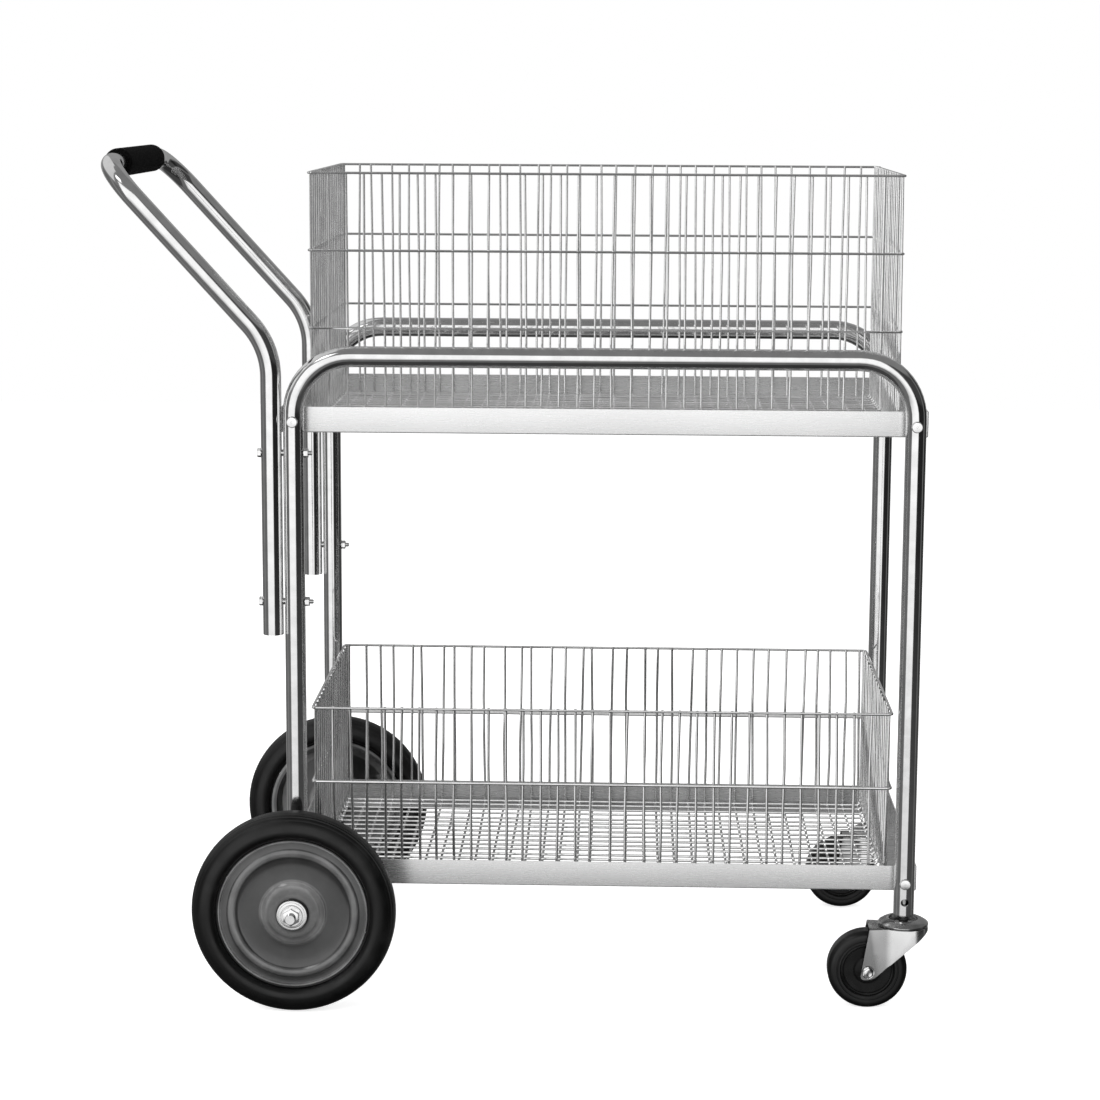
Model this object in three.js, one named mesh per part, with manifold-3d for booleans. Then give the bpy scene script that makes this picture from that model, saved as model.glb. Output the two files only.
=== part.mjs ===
// Mail cart: two bent chrome side frames, a bolted push handle, two sheet steel trays,
// two welded wire baskets, ten inch rear wheels on a through axle and two swivel casters.
// Millimetres, +Z up. +X is the way the cart is pushed, -Y is the side nearest the viewer.
import * as THREE from 'three';
import { mergeVertices } from 'three/addons/utils/BufferGeometryUtils.js';
import Module from 'manifold-3d';

const wasm = await Module();
wasm.setup();

// Running and seating gaps
const seatGap = 0.3;
const boltHoleGap = 0.4;
const cutOverrun = 2;

// Side frames
const legSpacing = 754;
const frameWidth = 406;
const tubeDiameter = 25.4;
const tubeWall = 1.6;
const tubeSides = 10;
const railRise = 63;
const frameBendRadius = 70;
const bendSteps = 5;
const rearLegEndHeight = 108;
const pegHoleDiameter = 9;
const pegHoleDrop = 8;

// Push handle
const handleGap = 1.6;
const handleEndHeight = 465;
const kneeHeight = 820;
const kneeRadius = 95;
const kneeSteps = 3;
const armReach = 198;
const armRise = 217;
const handleCornerRadius = 55;
const gripLength = 232;
const gripWall = 4.6;
const gripRounding = 3;
const gripSides = 16;

// Trays
const trayOverhang = 16.5;
const trayHeight = 31.5;
const sheet = 1.5;
const flangeWidth = 35;
const upperTrayHeight = 713.5;
const lowerTrayHeight = 144.5;

// Baskets
const basketEndGap = 8.3;
const basketSideGap = 4.2;
const wire = 2.6;
const rimWire = 3.4;
const hoopWire = 3.2;
const longWallWireCount = 34;
const endWallWireCount = 18;
const floorCrossWireCount = 18;
const floorLongWireCount = 10;
const hoopCornerSteps = 3;
const upperRimHeight = 1028;
const upperHoopShares = [0.7026, 0.402];
const lowerRimHeight = 368;
const lowerHoopShares = [0.576];

// Fasteners
const boltDiameter = 6;
const boltSides = 6;
const boltHeadDiameter = 13;
const boltHeadHeight = 3.5;
const boltHeadCrown = 9;
const nutDiameter = 11.5;
const nutHeight = 5;
const handleBoltInset = 41;
const handleBoltSpacing = 184;
const handleBoltTail = 5;
const spacerDiameter = 15;
const roundSides = 8;

// Rear wheels and axle
const wheelRadius = 127;
const wheelSides = 28;
const wheelSideGap = 9.3;
const tyreWidth = 44;
const treadWidth = 22;
const hubRadius = 91;
const axleDiameter = 12.7;
const axleSides = 12;
const axleStub = 8;
const hubBossRadius = 18;
const hubTubeRadius = 14;
const washerRadius = 16;
const washerThickness = 2.2;
const axleNutDiameter = 22;
const axleNutHeight = 9;
const hubRecess = 3;
const dishDepth = 9;
const hubPlate = 4;

// Casters
const casterRadius = 50;
const casterWidth = 28;
const casterSides = 20;
const casterTrail = 44;
const casterHubRadius = 33;
const casterAxleDiameter = 8;
const forkPlate = 2.6;
const forkTyreGap = 2.9;
const raceCrown = 6;
const forkSideGap = 2.4;
const raceRadius = 31;
const raceSides = 16;
const raceEdge = 3.4;
const stemDiameter = 20.4;
const stemBoltGap = 4.5;
const stemCollar = 1.2;
const neckHeight = 5.4;
const neckRadius = 6.5;
const kingpinRadius = 6;
const rivetRadius = 9;
const rivetHeight = 2.6;
const forkHeelRadius = 9;
const forkHeelSteps = 4;
const forkBackReach = 43;
const forkNoseDrop = 5;
const forkNoseSteps = 8;
const casterNutDiameter = 13;
const casterNutHeight = 6;

// Sizes worked out from the ones above
const legX = legSpacing / 2;
const sideY = frameWidth / 2;
const tubeRadius = tubeDiameter / 2;
const railHeight = upperTrayHeight + trayHeight + railRise;
const trayLength = legSpacing + 2 * trayOverhang;
const trayWidth = frameWidth - tubeDiameter - 2 * seatGap;
const basketLength = legSpacing - tubeDiameter - 2 * basketEndGap;
const basketWidth = trayWidth - 2 * sheet - 2 * basketSideGap - wire;
const wheelTrack = frameWidth + tubeDiameter + tyreWidth + 2 * wheelSideGap;
const rollingHeight = wheelRadius * Math.cos(Math.PI / wheelSides);
const casterHeight = casterRadius * Math.cos(Math.PI / casterSides);
const forkUnderside = casterHeight + casterRadius + forkTyreGap;
const forkTop = forkUnderside + forkPlate;
const frontLegEndHeight = forkTop + raceEdge + raceCrown + neckHeight + seatGap;
const handleX = -legX - tubeDiameter - handleGap;
const upperBasketBase = upperTrayHeight + sheet + seatGap;
const lowerBasketBase = lowerTrayHeight + sheet + seatGap;

const chrome = new THREE.MeshStandardMaterial({ color: 0xd4d6d8, metalness: 1, roughness: 0.12 });
const zincSheet = new THREE.MeshStandardMaterial({ color: 0xc9cbcc, metalness: 0.9, roughness: 0.4 });
const brightWire = new THREE.MeshStandardMaterial({ color: 0xc4c6c8, metalness: 1, roughness: 0.2 });
const zincBolt = new THREE.MeshStandardMaterial({ color: 0xdadada, metalness: 0.9, roughness: 0.3 });
const tyreRubber = new THREE.MeshStandardMaterial({ color: 0x141414, metalness: 0, roughness: 0.6 });
const greyHub = new THREE.MeshStandardMaterial({ color: 0x6a6a6a, metalness: 0, roughness: 0.35 });
const blackPlastic = new THREE.MeshStandardMaterial({ color: 0x1c1c1c, metalness: 0, roughness: 0.5 });
const gripFoam = new THREE.MeshStandardMaterial({ color: 0x0b0b0b, metalness: 0, roughness: 0.9 });

// A closed mesh as a solid, its faces turned outwards
function solidOf(geometry) {
  const bare = geometry.clone();
  bare.deleteAttribute('normal');
  bare.deleteAttribute('uv');
  const merged = mergeVertices(bare);
  const places = merged.attributes.position;
  const corners = [];
  let volume = 0;
  const a = new THREE.Vector3();
  const b = new THREE.Vector3();
  const c = new THREE.Vector3();
  for (let i = 0; i < merged.index.count; i += 3) {
    const [p, q, r] = [0, 1, 2].map((k) => merged.index.getX(i + k));
    if (p === q || q === r || r === p) continue;
    corners.push([p, q, r]);
    a.fromBufferAttribute(places, p);
    b.fromBufferAttribute(places, q);
    c.fromBufferAttribute(places, r);
    volume += a.dot(b.cross(c));
  }
  const outward = volume > 0 ? corners : corners.map(([p, q, r]) => [p, r, q]);
  const vertProperties = Float32Array.from(places.array);
  const triVerts = Uint32Array.from(outward.flat());
  return new wasm.Manifold(new wasm.Mesh({ numProp: 3, vertProperties, triVerts }));
}

// A solid as three.js geometry
function geometryOf(solid) {
  const mesh = solid.getMesh();
  const geometry = new THREE.BufferGeometry();
  geometry.setAttribute('position', new THREE.BufferAttribute(mesh.vertProperties, 3));
  geometry.setIndex(new THREE.BufferAttribute(mesh.triVerts, 1));
  geometry.computeVertexNormals();
  return geometry;
}

const cart = new THREE.Group();

// One named piece, added to its group
function addPiece(name, solid, material, parent = cart) {
  const mesh = new THREE.Mesh(geometryOf(solid), material);
  mesh.name = name;
  parent.add(mesh);
  return mesh;
}

// Corner points of a round section
function ringPoints(radius, sides) {
  const points = [];
  for (let i = 0; i < sides; i += 1) {
    const angle = (2 * Math.PI * (i + 0.5)) / sides;
    points.push(new THREE.Vector2(radius * Math.cos(angle), radius * Math.sin(angle)));
  }
  return points;
}

// A round bar between two heights of one axis: 'x', 'y' or 'z'
function bar(axis, from, to, radius, sides, at = {}, farRadius = radius) {
  const geometry = new THREE.CylinderGeometry(farRadius, radius, to - from, sides);
  geometry.translate(0, (from + to) / 2, 0);
  if (axis === 'x') geometry.rotateZ(-Math.PI / 2);
  if (axis === 'z') geometry.rotateX(Math.PI / 2);
  geometry.translate(at.x ?? 0, at.y ?? 0, at.z ?? 0);
  return solidOf(geometry);
}

// A profile of [radius, height] pairs turned about the Y axis, or the Z axis
function turned(profile, sides, aboutZ = false) {
  const points = profile.map(([radius, height]) => new THREE.Vector2(radius, height));
  if (!points[0].equals(points.at(-1))) points.push(points[0].clone());
  const geometry = new THREE.LatheGeometry(points, sides, Math.PI / sides);
  if (aboutZ) geometry.rotateX(Math.PI / 2);
  return solidOf(geometry);
}

// A path that only has places where the tube needs a ring
class StationPath extends THREE.Curve {
  constructor(stations) {
    super();
    this.stations = stations;
  }

  station(share) {
    return this.stations[Math.round(share * (this.stations.length - 1))];
  }

  getPointAt(share) {
    return this.station(share).point.clone();
  }

  getTangentAt(share) {
    return this.station(share).tangent.clone();
  }
}

// Straight runs joined by arcs: each inner corner has a bend radius and a number of steps
function bentStations(corners, bends) {
  const heading = (from, to) => to.clone().sub(from).normalize();
  const first = heading(corners[0], corners[1]);
  const stations = [{ point: corners[0].clone(), tangent: first }];
  bends.forEach(({ radius, steps }, i) => {
    const corner = corners[i + 1];
    const inward = heading(corners[i], corner);
    const outward = heading(corner, corners[i + 2]);
    const turn = inward.angleTo(outward);
    const side = outward.clone().addScaledVector(inward, -inward.dot(outward)).normalize();
    const start = corner.clone().addScaledVector(inward, -radius * Math.tan(turn / 2));
    for (let k = 0; k <= steps; k += 1) {
      const angle = (turn * k) / steps;
      const point = start.clone()
        .addScaledVector(inward, radius * Math.sin(angle))
        .addScaledVector(side, radius * (1 - Math.cos(angle)));
      const tangent = inward.clone().multiplyScalar(Math.cos(angle)).addScaledVector(side, Math.sin(angle));
      stations.push({ point, tangent });
    }
  });
  const last = corners.at(-1);
  stations.push({ point: last.clone(), tangent: heading(corners.at(-2), last) });
  return stations;
}

// An open-ended tube along bent stations
function bentTube(corners, bends) {
  const section = new THREE.Shape(ringPoints(tubeRadius, tubeSides));
  section.holes.push(new THREE.Path(ringPoints(tubeRadius - tubeWall, tubeSides)));
  const stations = bentStations(corners, bends);
  const extrudePath = new StationPath(stations);
  return solidOf(new THREE.ExtrudeGeometry(section, { extrudePath, steps: stations.length - 1 }));
}

// Heights of the bolts that hold the trays and the handle
const trayBoltHeights = [upperTrayHeight, lowerTrayHeight].map((height) => height + trayHeight / 2);
const handleBoltHeights = [0, handleBoltSpacing].map((rise) => handleEndHeight + handleBoltInset + rise);
const boltHoleRadius = boltDiameter / 2 + boltHoleGap;

// Holes drilled through a tube that stands at x, y
function drillAcross(tube, axis, x, y, z, radius, sides) {
  const reach = tubeRadius + cutOverrun;
  const middle = axis === 'x' ? x : y;
  const at = axis === 'x' ? { y, z } : { x, z };
  return tube.subtract(bar(axis, middle - reach, middle + reach, radius, sides, at));
}

// One side frame: rear leg, top rail and front leg in one bent tube
function sideFrame(side) {
  const y = side * sideY;
  const corners = [
    new THREE.Vector3(-legX, y, rearLegEndHeight),
    new THREE.Vector3(-legX, y, railHeight),
    new THREE.Vector3(legX, y, railHeight),
    new THREE.Vector3(legX, y, frontLegEndHeight),
  ];
  const bend = { radius: frameBendRadius, steps: bendSteps };
  let tube = bentTube(corners, [bend, bend]);
  for (const x of [-legX, legX]) {
    for (const z of trayBoltHeights) tube = drillAcross(tube, 'y', x, y, z, boltHoleRadius, boltSides);
  }
  for (const z of handleBoltHeights) tube = drillAcross(tube, 'x', -legX, y, z, boltHoleRadius, boltSides);
  tube = drillAcross(tube, 'y', -legX, y, rollingHeight, axleDiameter / 2 + boltHoleGap, axleSides);
  const pegHeight = lowerTrayHeight - pegHoleDrop;
  return drillAcross(tube, 'y', legX, y, pegHeight, pegHoleDiameter / 2, boltSides);
}

// The push handle: two arms bent back at the knee and joined by the crossbar
const crossbarX = handleX - armReach;
const crossbarHeight = kneeHeight + armRise;
function pushHandle() {
  const arm = (y) => [
    new THREE.Vector3(handleX, y, handleEndHeight),
    new THREE.Vector3(handleX, y, kneeHeight),
    new THREE.Vector3(crossbarX, y, crossbarHeight),
  ];
  const corners = [...arm(-sideY), ...arm(sideY).reverse()];
  const knee = { radius: kneeRadius, steps: kneeSteps };
  const top = { radius: handleCornerRadius, steps: bendSteps };
  let tube = bentTube(corners, [knee, top, top, knee]);
  for (const y of [-sideY, sideY]) {
    for (const z of handleBoltHeights) tube = drillAcross(tube, 'x', handleX, y, z, boltHoleRadius, boltSides);
  }
  return tube;
}

// The foam grip: a sleeve with rounded ends on the crossbar
function foamGrip() {
  const inner = tubeRadius + seatGap;
  const outer = inner + gripWall;
  const half = gripLength / 2;
  const profile = [
    [inner, -half],
    [outer - gripRounding, -half],
    [outer, -half + gripRounding],
    [outer, half - gripRounding],
    [outer - gripRounding, half],
    [inner, half],
  ];
  return turned(profile, gripSides).translate([crossbarX, 0, crossbarHeight]);
}

// A straight-sided block between two corners
function block(low, high) {
  const size = high.map((value, i) => value - low[i]);
  const geometry = new THREE.BoxGeometry(...size);
  geometry.translate(...high.map((value, i) => (value + low[i]) / 2));
  return solidOf(geometry);
}

// A tray: a rectangle of upright aprons, folded in at the bottom as a flange, open in the middle
function tray(height) {
  const halfLength = trayLength / 2;
  const halfWidth = trayWidth / 2;
  const top = height + trayHeight;
  const outside = block([-halfLength, -halfWidth, height], [halfLength, halfWidth, top]);
  const pocketX = halfLength - sheet;
  const pocketY = halfWidth - sheet;
  const pocket = block([-pocketX, -pocketY, height + sheet], [pocketX, pocketY, top + cutOverrun]);
  const openX = halfLength - flangeWidth;
  const openY = halfWidth - flangeWidth;
  const opening = block([-openX, -openY, height - cutOverrun], [openX, openY, top]);
  let pan = outside.subtract(pocket).subtract(opening);
  for (const side of [-1, 1]) {
    for (const x of [-legX, legX]) {
      const [from, to] = [side * halfWidth - cutOverrun, side * halfWidth + cutOverrun];
      const at = { x, z: height + trayHeight / 2 };
      pan = pan.subtract(bar('y', from, to, boltHoleRadius, boltSides, at));
    }
  }
  return pan;
}

// Parallel wires between two bars, lying flat: width along X, height along Y, one wire thick
function grille(width, height, wireCount, lowBar, highBar) {
  const half = width / 2;
  const depth = wire / 2;
  const reach = depth + cutOverrun;
  const pitch = (width - wire) / (wireCount - 1);
  const openings = [];
  for (let i = 0; i < wireCount - 1; i += 1) {
    const left = -half + wire + i * pitch;
    openings.push(block([left, lowBar, -reach], [left + pitch - wire, height - highBar, reach]));
  }
  const plate = block([-half, 0, -depth], [half, height, depth]);
  return plate.subtract(wasm.Manifold.union(openings));
}

// A rectangle with rounded corners
function roundedRectangle(width, depth, rounding) {
  const points = [];
  const quarterTurn = Math.PI / 2;
  const corners = [[1, -1], [1, 1], [-1, 1], [-1, -1]];
  corners.forEach(([alongX, alongY], i) => {
    for (let k = 0; k <= hoopCornerSteps; k += 1) {
      const angle = quarterTurn * (i - 1 + k / hoopCornerSteps);
      const x = alongX * (width / 2 - rounding) + rounding * Math.cos(angle);
      const y = alongY * (depth / 2 - rounding) + rounding * Math.sin(angle);
      points.push(new THREE.Vector2(x, y));
    }
  });
  return points;
}

// A hoop welded round the outside of the upright wires
function hoop(height) {
  const innerLength = basketLength + wire + 2 * seatGap;
  const innerWidth = basketWidth + wire + 2 * seatGap;
  const outerRounding = hoopWire + seatGap;
  const ring = new THREE.Shape(
    roundedRectangle(innerLength + 2 * hoopWire, innerWidth + 2 * hoopWire, outerRounding),
  );
  const innerRounding = seatGap;
  const inside = roundedRectangle(innerLength, innerWidth, innerRounding);
  ring.holes.push(new THREE.Path(inside));
  const geometry = new THREE.ExtrudeGeometry(ring, { depth: hoopWire, bevelEnabled: false });
  geometry.translate(0, 0, height - hoopWire / 2);
  return solidOf(geometry);
}

// A basket: two long walls, two end walls, a floor of two layers of wires, and its hoops
function addBasket(label, base, rimHeight, hoopShares) {
  const height = rimHeight + rimWire / 2 - base;
  const longWall = grille(basketLength + wire, height, longWallWireCount, wire, rimWire).rotate([90, 0, 0]);
  const endWidth = basketWidth - wire - 2 * seatGap;
  const endWall = grille(endWidth, height, endWallWireCount, wire, rimWire).rotate([90, 0, 0]).rotate([0, 0, 90]);
  for (const [side, name] of [[-1, 'right'], [1, 'left']]) {
    const wall = longWall.translate([0, (side * basketWidth) / 2, base]);
    addPiece(`${label}_basket_${name}_wall`, wall, brightWire);
  }
  for (const [side, name] of [[-1, 'rear'], [1, 'front']]) {
    const wall = endWall.translate([(side * basketLength) / 2, 0, base]);
    addPiece(`${label}_basket_${name}_wall`, wall, brightWire);
  }
  const floorLength = basketLength - wire - 2 * seatGap;
  const crossWires = grille(floorLength, endWidth, floorCrossWireCount, wire, wire);
  const crossPlace = [0, -endWidth / 2, base + wire / 2];
  addPiece(`${label}_basket_floor_cross_wires`, crossWires.translate(crossPlace), brightWire);
  const longWires = grille(endWidth, floorLength, floorLongWireCount, wire, wire).rotate([0, 0, 90]);
  const longPlace = [floorLength / 2, 0, base + wire + seatGap + wire / 2];
  addPiece(`${label}_basket_floor_long_wires`, longWires.translate(longPlace), brightWire);
  hoopShares.forEach((share, i) => {
    const hoopHeight = base + share * (rimHeight - base);
    addPiece(`${label}_basket_hoop_${i + 1}`, hoop(hoopHeight), brightWire);
  });
}

// A tray bolt with its nut: domed head outside the leg, nut inside the apron
function trayBolt(side) {
  const seat = sideY + tubeRadius + seatGap;
  const nutSeat = trayWidth / 2 - sheet - seatGap;
  const tail = nutSeat - nutHeight;
  const shank = bar('y', tail, seat + boltHeadHeight / 2, boltDiameter / 2, boltSides);
  const crown = boltHeadCrown / 2;
  const head = bar('y', seat, seat + boltHeadHeight, boltHeadDiameter / 2, roundSides, {}, crown);
  const nut = bar('y', tail, nutSeat, nutDiameter / 2, boltSides);
  const whole = shank.add(head).add(nut);
  return side > 0 ? whole : whole.rotate([0, 0, 180]);
}

// A handle bolt with its nut, through both tubes
function handleBolt() {
  const headSeat = handleX - tubeRadius - seatGap;
  const nutSeat = -legX + tubeRadius + seatGap;
  const tip = nutSeat + nutHeight + handleBoltTail;
  const shank = bar('x', headSeat - boltHeadHeight / 2, tip, boltDiameter / 2, boltSides);
  const head = bar('x', headSeat - boltHeadHeight, headSeat, nutDiameter / 2, boltSides);
  const nut = bar('x', nutSeat, nutSeat + nutHeight, nutDiameter / 2, boltSides);
  return shank.add(head).add(nut);
}

// The thin spacer that a handle bolt passes through between the two tubes
function handleSpacer() {
  const from = handleX + tubeRadius + seatGap;
  const to = -legX - tubeRadius - seatGap;
  const disc = bar('x', from, to, spacerDiameter / 2, roundSides);
  return disc.subtract(bar('x', from - cutOverrun, to + cutOverrun, boltHoleRadius, boltSides));
}

// Where the rear hub starts and ends along the axle, from the wheel's middle plane outwards
const wheelMid = wheelTrack / 2;
const hubInnerEnd = sideY + tubeRadius + seatGap - wheelMid;
const hubFace = tyreWidth / 2 - hubRecess;
const axleEnd = wheelMid + hubFace + washerThickness + axleNutHeight + axleStub;

// The pressed steel hub, turned about the axle with its outer face towards +Y
function rearHub() {
  const bore = axleDiameter / 2 + seatGap;
  const dish = hubFace - dishDepth;
  const lipShare = [0.97, 0.93, 0.86, 0.8];
  const [lip, groove, ringOut, ringIn] = lipShare.map((share) => share * hubRadius);
  const halfRim = treadWidth / 2 + hubPlate;
  const profile = [
    [bore, hubInnerEnd],
    [hubTubeRadius, hubInnerEnd],
    [hubTubeRadius, dish - hubPlate],
    [ringIn, dish - hubPlate],
    [groove, -halfRim],
    [hubRadius, -halfRim],
    [hubRadius, halfRim],
    [lip, halfRim],
    [groove, halfRim - hubPlate],
    [ringOut, halfRim],
    [ringIn, dish],
    [hubBossRadius + hubPlate, dish],
    [hubBossRadius, hubFace],
    [bore, hubFace],
  ];
  return turned(profile, wheelSides);
}

// The rear tyre: flat tread, rounded shoulders and bulged walls
function rearTyre() {
  const wall = wheelRadius - hubRadius;
  const halfTread = treadWidth / 2;
  const halfWidth = tyreWidth / 2;
  const halfRim = treadWidth / 2 + hubPlate;
  const seat = (hubRadius + seatGap) / Math.cos(Math.PI / wheelSides);
  const sideShare = [[0.3, 1], [0.66, 0.98], [0.88, 0.8]];
  const outer = sideShare.map(([up, out]) => [hubRadius + up * wall, out * halfWidth]);
  const profile = [
    [seat, halfRim],
    ...outer,
    [wheelRadius, halfTread],
    [wheelRadius, -halfTread],
    ...outer.map(([radius, out]) => [radius, -out]).reverse(),
    [seat, -halfRim],
  ];
  return turned(profile, wheelSides);
}

// The through axle across both rear legs and both wheels
function rearAxle() {
  return bar('y', -axleEnd, axleEnd, axleDiameter / 2, axleSides, { x: -legX, z: rollingHeight });
}

// Washer and nut at one end of the axle
function axleNut() {
  const bore = axleDiameter / 2 + seatGap;
  const from = wheelMid + hubFace + seatGap;
  const seat = from + washerThickness;
  const washer = bar('y', from, seat, washerRadius, axleSides);
  const nut = bar('y', seat - washerThickness / 2, seat + axleNutHeight, axleNutDiameter / 2, boltSides);
  const hole = bar('y', from - cutOverrun, axleEnd, bore, axleSides);
  return washer.add(nut).subtract(hole);
}

// Half widths of the fork
const forkInner = casterWidth / 2 + forkSideGap;
const forkOuter = forkInner + forkPlate;

// The fixed stem: post in the leg, collar under the leg, neck, ball race and the rivet under the fork
function casterStem() {
  const raceFoot = forkTop + seatGap;
  const legEnd = frontLegEndHeight - seatGap;
  const shoulder = legEnd - neckHeight;
  const postRadius = stemDiameter / 2;
  const postTop = trayBoltHeights.at(-1) - boltDiameter / 2 - stemBoltGap;
  const crestRadius = (raceRadius + tubeRadius) / 2;
  const rivetTop = forkUnderside - seatGap;
  const profile = [
    [0, rivetTop - rivetHeight],
    [rivetRadius, rivetTop - rivetHeight],
    [rivetRadius, rivetTop],
    [kingpinRadius, rivetTop],
    [kingpinRadius, raceFoot],
    [raceRadius - raceEdge, raceFoot],
    [raceRadius, raceFoot + raceEdge],
    [raceRadius - raceEdge / 2, raceFoot + 2 * raceEdge],
    [crestRadius, shoulder],
    [neckRadius, shoulder],
    [neckRadius, legEnd - stemCollar],
    [tubeRadius, legEnd - stemCollar],
    [tubeRadius, legEnd],
    [postRadius, legEnd],
    [postRadius, postTop],
    [0, postTop],
  ];
  return turned(profile, raceSides, true);
}

// The fork seen from its side, across its whole width: it trails back to the axle
function forkSide() {
  const axle = new THREE.Vector2(-casterTrail, casterHeight);
  const heelTurnShare = 0.8;
  const outline = [
    new THREE.Vector2(raceRadius, forkTop),
    new THREE.Vector2(-forkBackReach, forkTop),
  ];
  for (let k = 0; k <= forkHeelSteps; k += 1) {
    const angle = Math.PI + (Math.PI * heelTurnShare * k) / forkHeelSteps;
    const x = axle.x + forkHeelRadius * Math.cos(angle);
    outline.push(new THREE.Vector2(x, axle.y + forkHeelRadius * Math.sin(angle)));
  }
  outline.push(new THREE.Vector2(raceRadius, forkTop - forkNoseDrop));
  const depth = 2 * (forkOuter + cutOverrun);
  const geometry = new THREE.ExtrudeGeometry(new THREE.Shape(outline), { depth, bevelEnabled: false });
  geometry.translate(0, 0, -depth / 2);
  geometry.rotateX(Math.PI / 2);
  return solidOf(geometry);
}

// A U-shaped prism that is round in front, between two heights
function forkPrism(half, back, from, to) {
  const noseX = raceRadius - forkOuter;
  const outline = [new THREE.Vector2(back, half), new THREE.Vector2(back, -half)];
  for (let k = 0; k <= forkNoseSteps; k += 1) {
    const angle = Math.PI * (k / forkNoseSteps - 1 / 2);
    outline.push(new THREE.Vector2(noseX + half * Math.cos(angle), half * Math.sin(angle)));
  }
  const geometry = new THREE.ExtrudeGeometry(new THREE.Shape(outline), { depth: to - from, bevelEnabled: false });
  geometry.translate(0, 0, from);
  return solidOf(geometry);
}

// The swivelling fork, pressed from one plate: crown, round front, cheeks and the race's seat
function casterFork() {
  const back = -casterTrail - forkHeelRadius - cutOverrun;
  const outside = forkPrism(forkOuter, back, 0, forkTop);
  const inside = forkPrism(forkInner, back - cutOverrun, -cutOverrun, forkUnderside);
  const pressed = outside.subtract(inside).intersect(forkSide());
  const seat = bar('z', forkUnderside, forkTop, raceRadius, raceSides);
  const pinHole = bar('z', forkUnderside - cutOverrun, forkTop + cutOverrun, kingpinRadius + seatGap, raceSides);
  const hole = casterAxleDiameter / 2 + boltHoleGap;
  const reach = forkOuter + cutOverrun;
  const axleHole = bar('y', -reach, reach, hole, roundSides, { x: -casterTrail, z: casterHeight });
  return pressed.add(seat).subtract(pinHole).subtract(axleHole);
}

// The caster's axle bolt: hex head on one cheek, nut on the other
function casterAxle() {
  const seat = forkOuter + seatGap;
  const end = seat + casterNutHeight;
  const radius = casterNutDiameter / 2;
  const nutShare = 0.7;
  const shank = bar('y', -end, end, casterAxleDiameter / 2, roundSides);
  const head = bar('y', seat, seat + nutShare * casterNutHeight, radius, boltSides);
  const nut = bar('y', -seat - nutShare * casterNutHeight, -seat, radius, boltSides);
  return shank.add(head).add(nut);
}

// The caster's moulded hub, wider at the bore
function casterHub() {
  const bore = casterAxleDiameter / 2 + seatGap;
  const halfWidth = casterWidth / 2;
  const bossRadius = 2 * casterAxleDiameter;
  const web = halfWidth - forkPlate;
  const rimInner = casterHubRadius - forkPlate;
  const profile = [
    [bore, -halfWidth - forkSideGap / 2],
    [bossRadius, -halfWidth],
    [bossRadius, -web],
    [rimInner, -web],
    [casterHubRadius, -halfWidth],
    [casterHubRadius, halfWidth],
    [rimInner, web],
    [bossRadius, web],
    [bossRadius, halfWidth],
    [bore, halfWidth + forkSideGap / 2],
  ];
  return turned(profile, casterSides);
}

// The caster's rubber tyre
function casterTyre() {
  const halfWidth = casterWidth / 2;
  const seat = (casterHubRadius + seatGap) / Math.cos(Math.PI / casterSides);
  const wall = casterRadius - casterHubRadius;
  const treadShare = 0.55;
  const bulgeShare = 0.7;
  const halfTread = treadShare * halfWidth;
  const profile = [
    [seat, halfWidth],
    [casterHubRadius + wall * bulgeShare, halfWidth],
    [casterRadius, halfTread],
    [casterRadius, -halfTread],
    [casterHubRadius + wall * bulgeShare, -halfWidth],
    [seat, -halfWidth],
  ];
  return turned(profile, casterSides);
}

// Frame, handle and trays
for (const [side, name] of [[-1, 'right'], [1, 'left']]) {
  addPiece(`side_frame_${name}`, sideFrame(side), chrome);
}
addPiece('push_handle', pushHandle(), chrome);
addPiece('foam_grip', foamGrip(), gripFoam);
addPiece('upper_tray', tray(upperTrayHeight), zincSheet);
addPiece('lower_tray', tray(lowerTrayHeight), zincSheet);
addBasket('upper', upperBasketBase, upperRimHeight, upperHoopShares);
addBasket('lower', lowerBasketBase, lowerRimHeight, lowerHoopShares);

// Bolts, in the order of the trays, the sides and the legs
for (const [tier, height] of [['upper', trayBoltHeights[0]], ['lower', trayBoltHeights[1]]]) {
  for (const [side, name] of [[-1, 'right'], [1, 'left']]) {
    for (const [end, where] of [[-1, 'rear'], [1, 'front']]) {
      const bolt = trayBolt(side).translate([end * legX, 0, height]);
      addPiece(`${tier}_tray_bolt_${where}_${name}`, bolt, zincBolt);
    }
  }
}
for (const [side, name] of [[-1, 'right'], [1, 'left']]) {
  handleBoltHeights.forEach((height, i) => {
    const where = [0, side * sideY, height];
    addPiece(`handle_bolt_${name}_${i + 1}`, handleBolt().translate(where), zincBolt);
    addPiece(`handle_spacer_${name}_${i + 1}`, handleSpacer().translate(where), zincBolt);
  });
}

// Rear axle and wheels: the left wheel is the right one turned round
addPiece('rear_axle', rearAxle(), zincBolt);
for (const [side, name] of [[-1, 'right'], [1, 'left']]) {
  const turn = side > 0 ? 0 : 180;
  const mid = [-legX, side * wheelMid, rollingHeight];
  addPiece(`rear_tyre_${name}`, rearTyre().translate(mid), tyreRubber);
  addPiece(`rear_hub_${name}`, rearHub().rotate([0, 0, turn]).translate(mid), greyHub);
  const nut = axleNut().rotate([0, 0, turn]).translate([-legX, 0, rollingHeight]);
  addPiece(`axle_nut_${name}`, nut, zincBolt);
}

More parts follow.
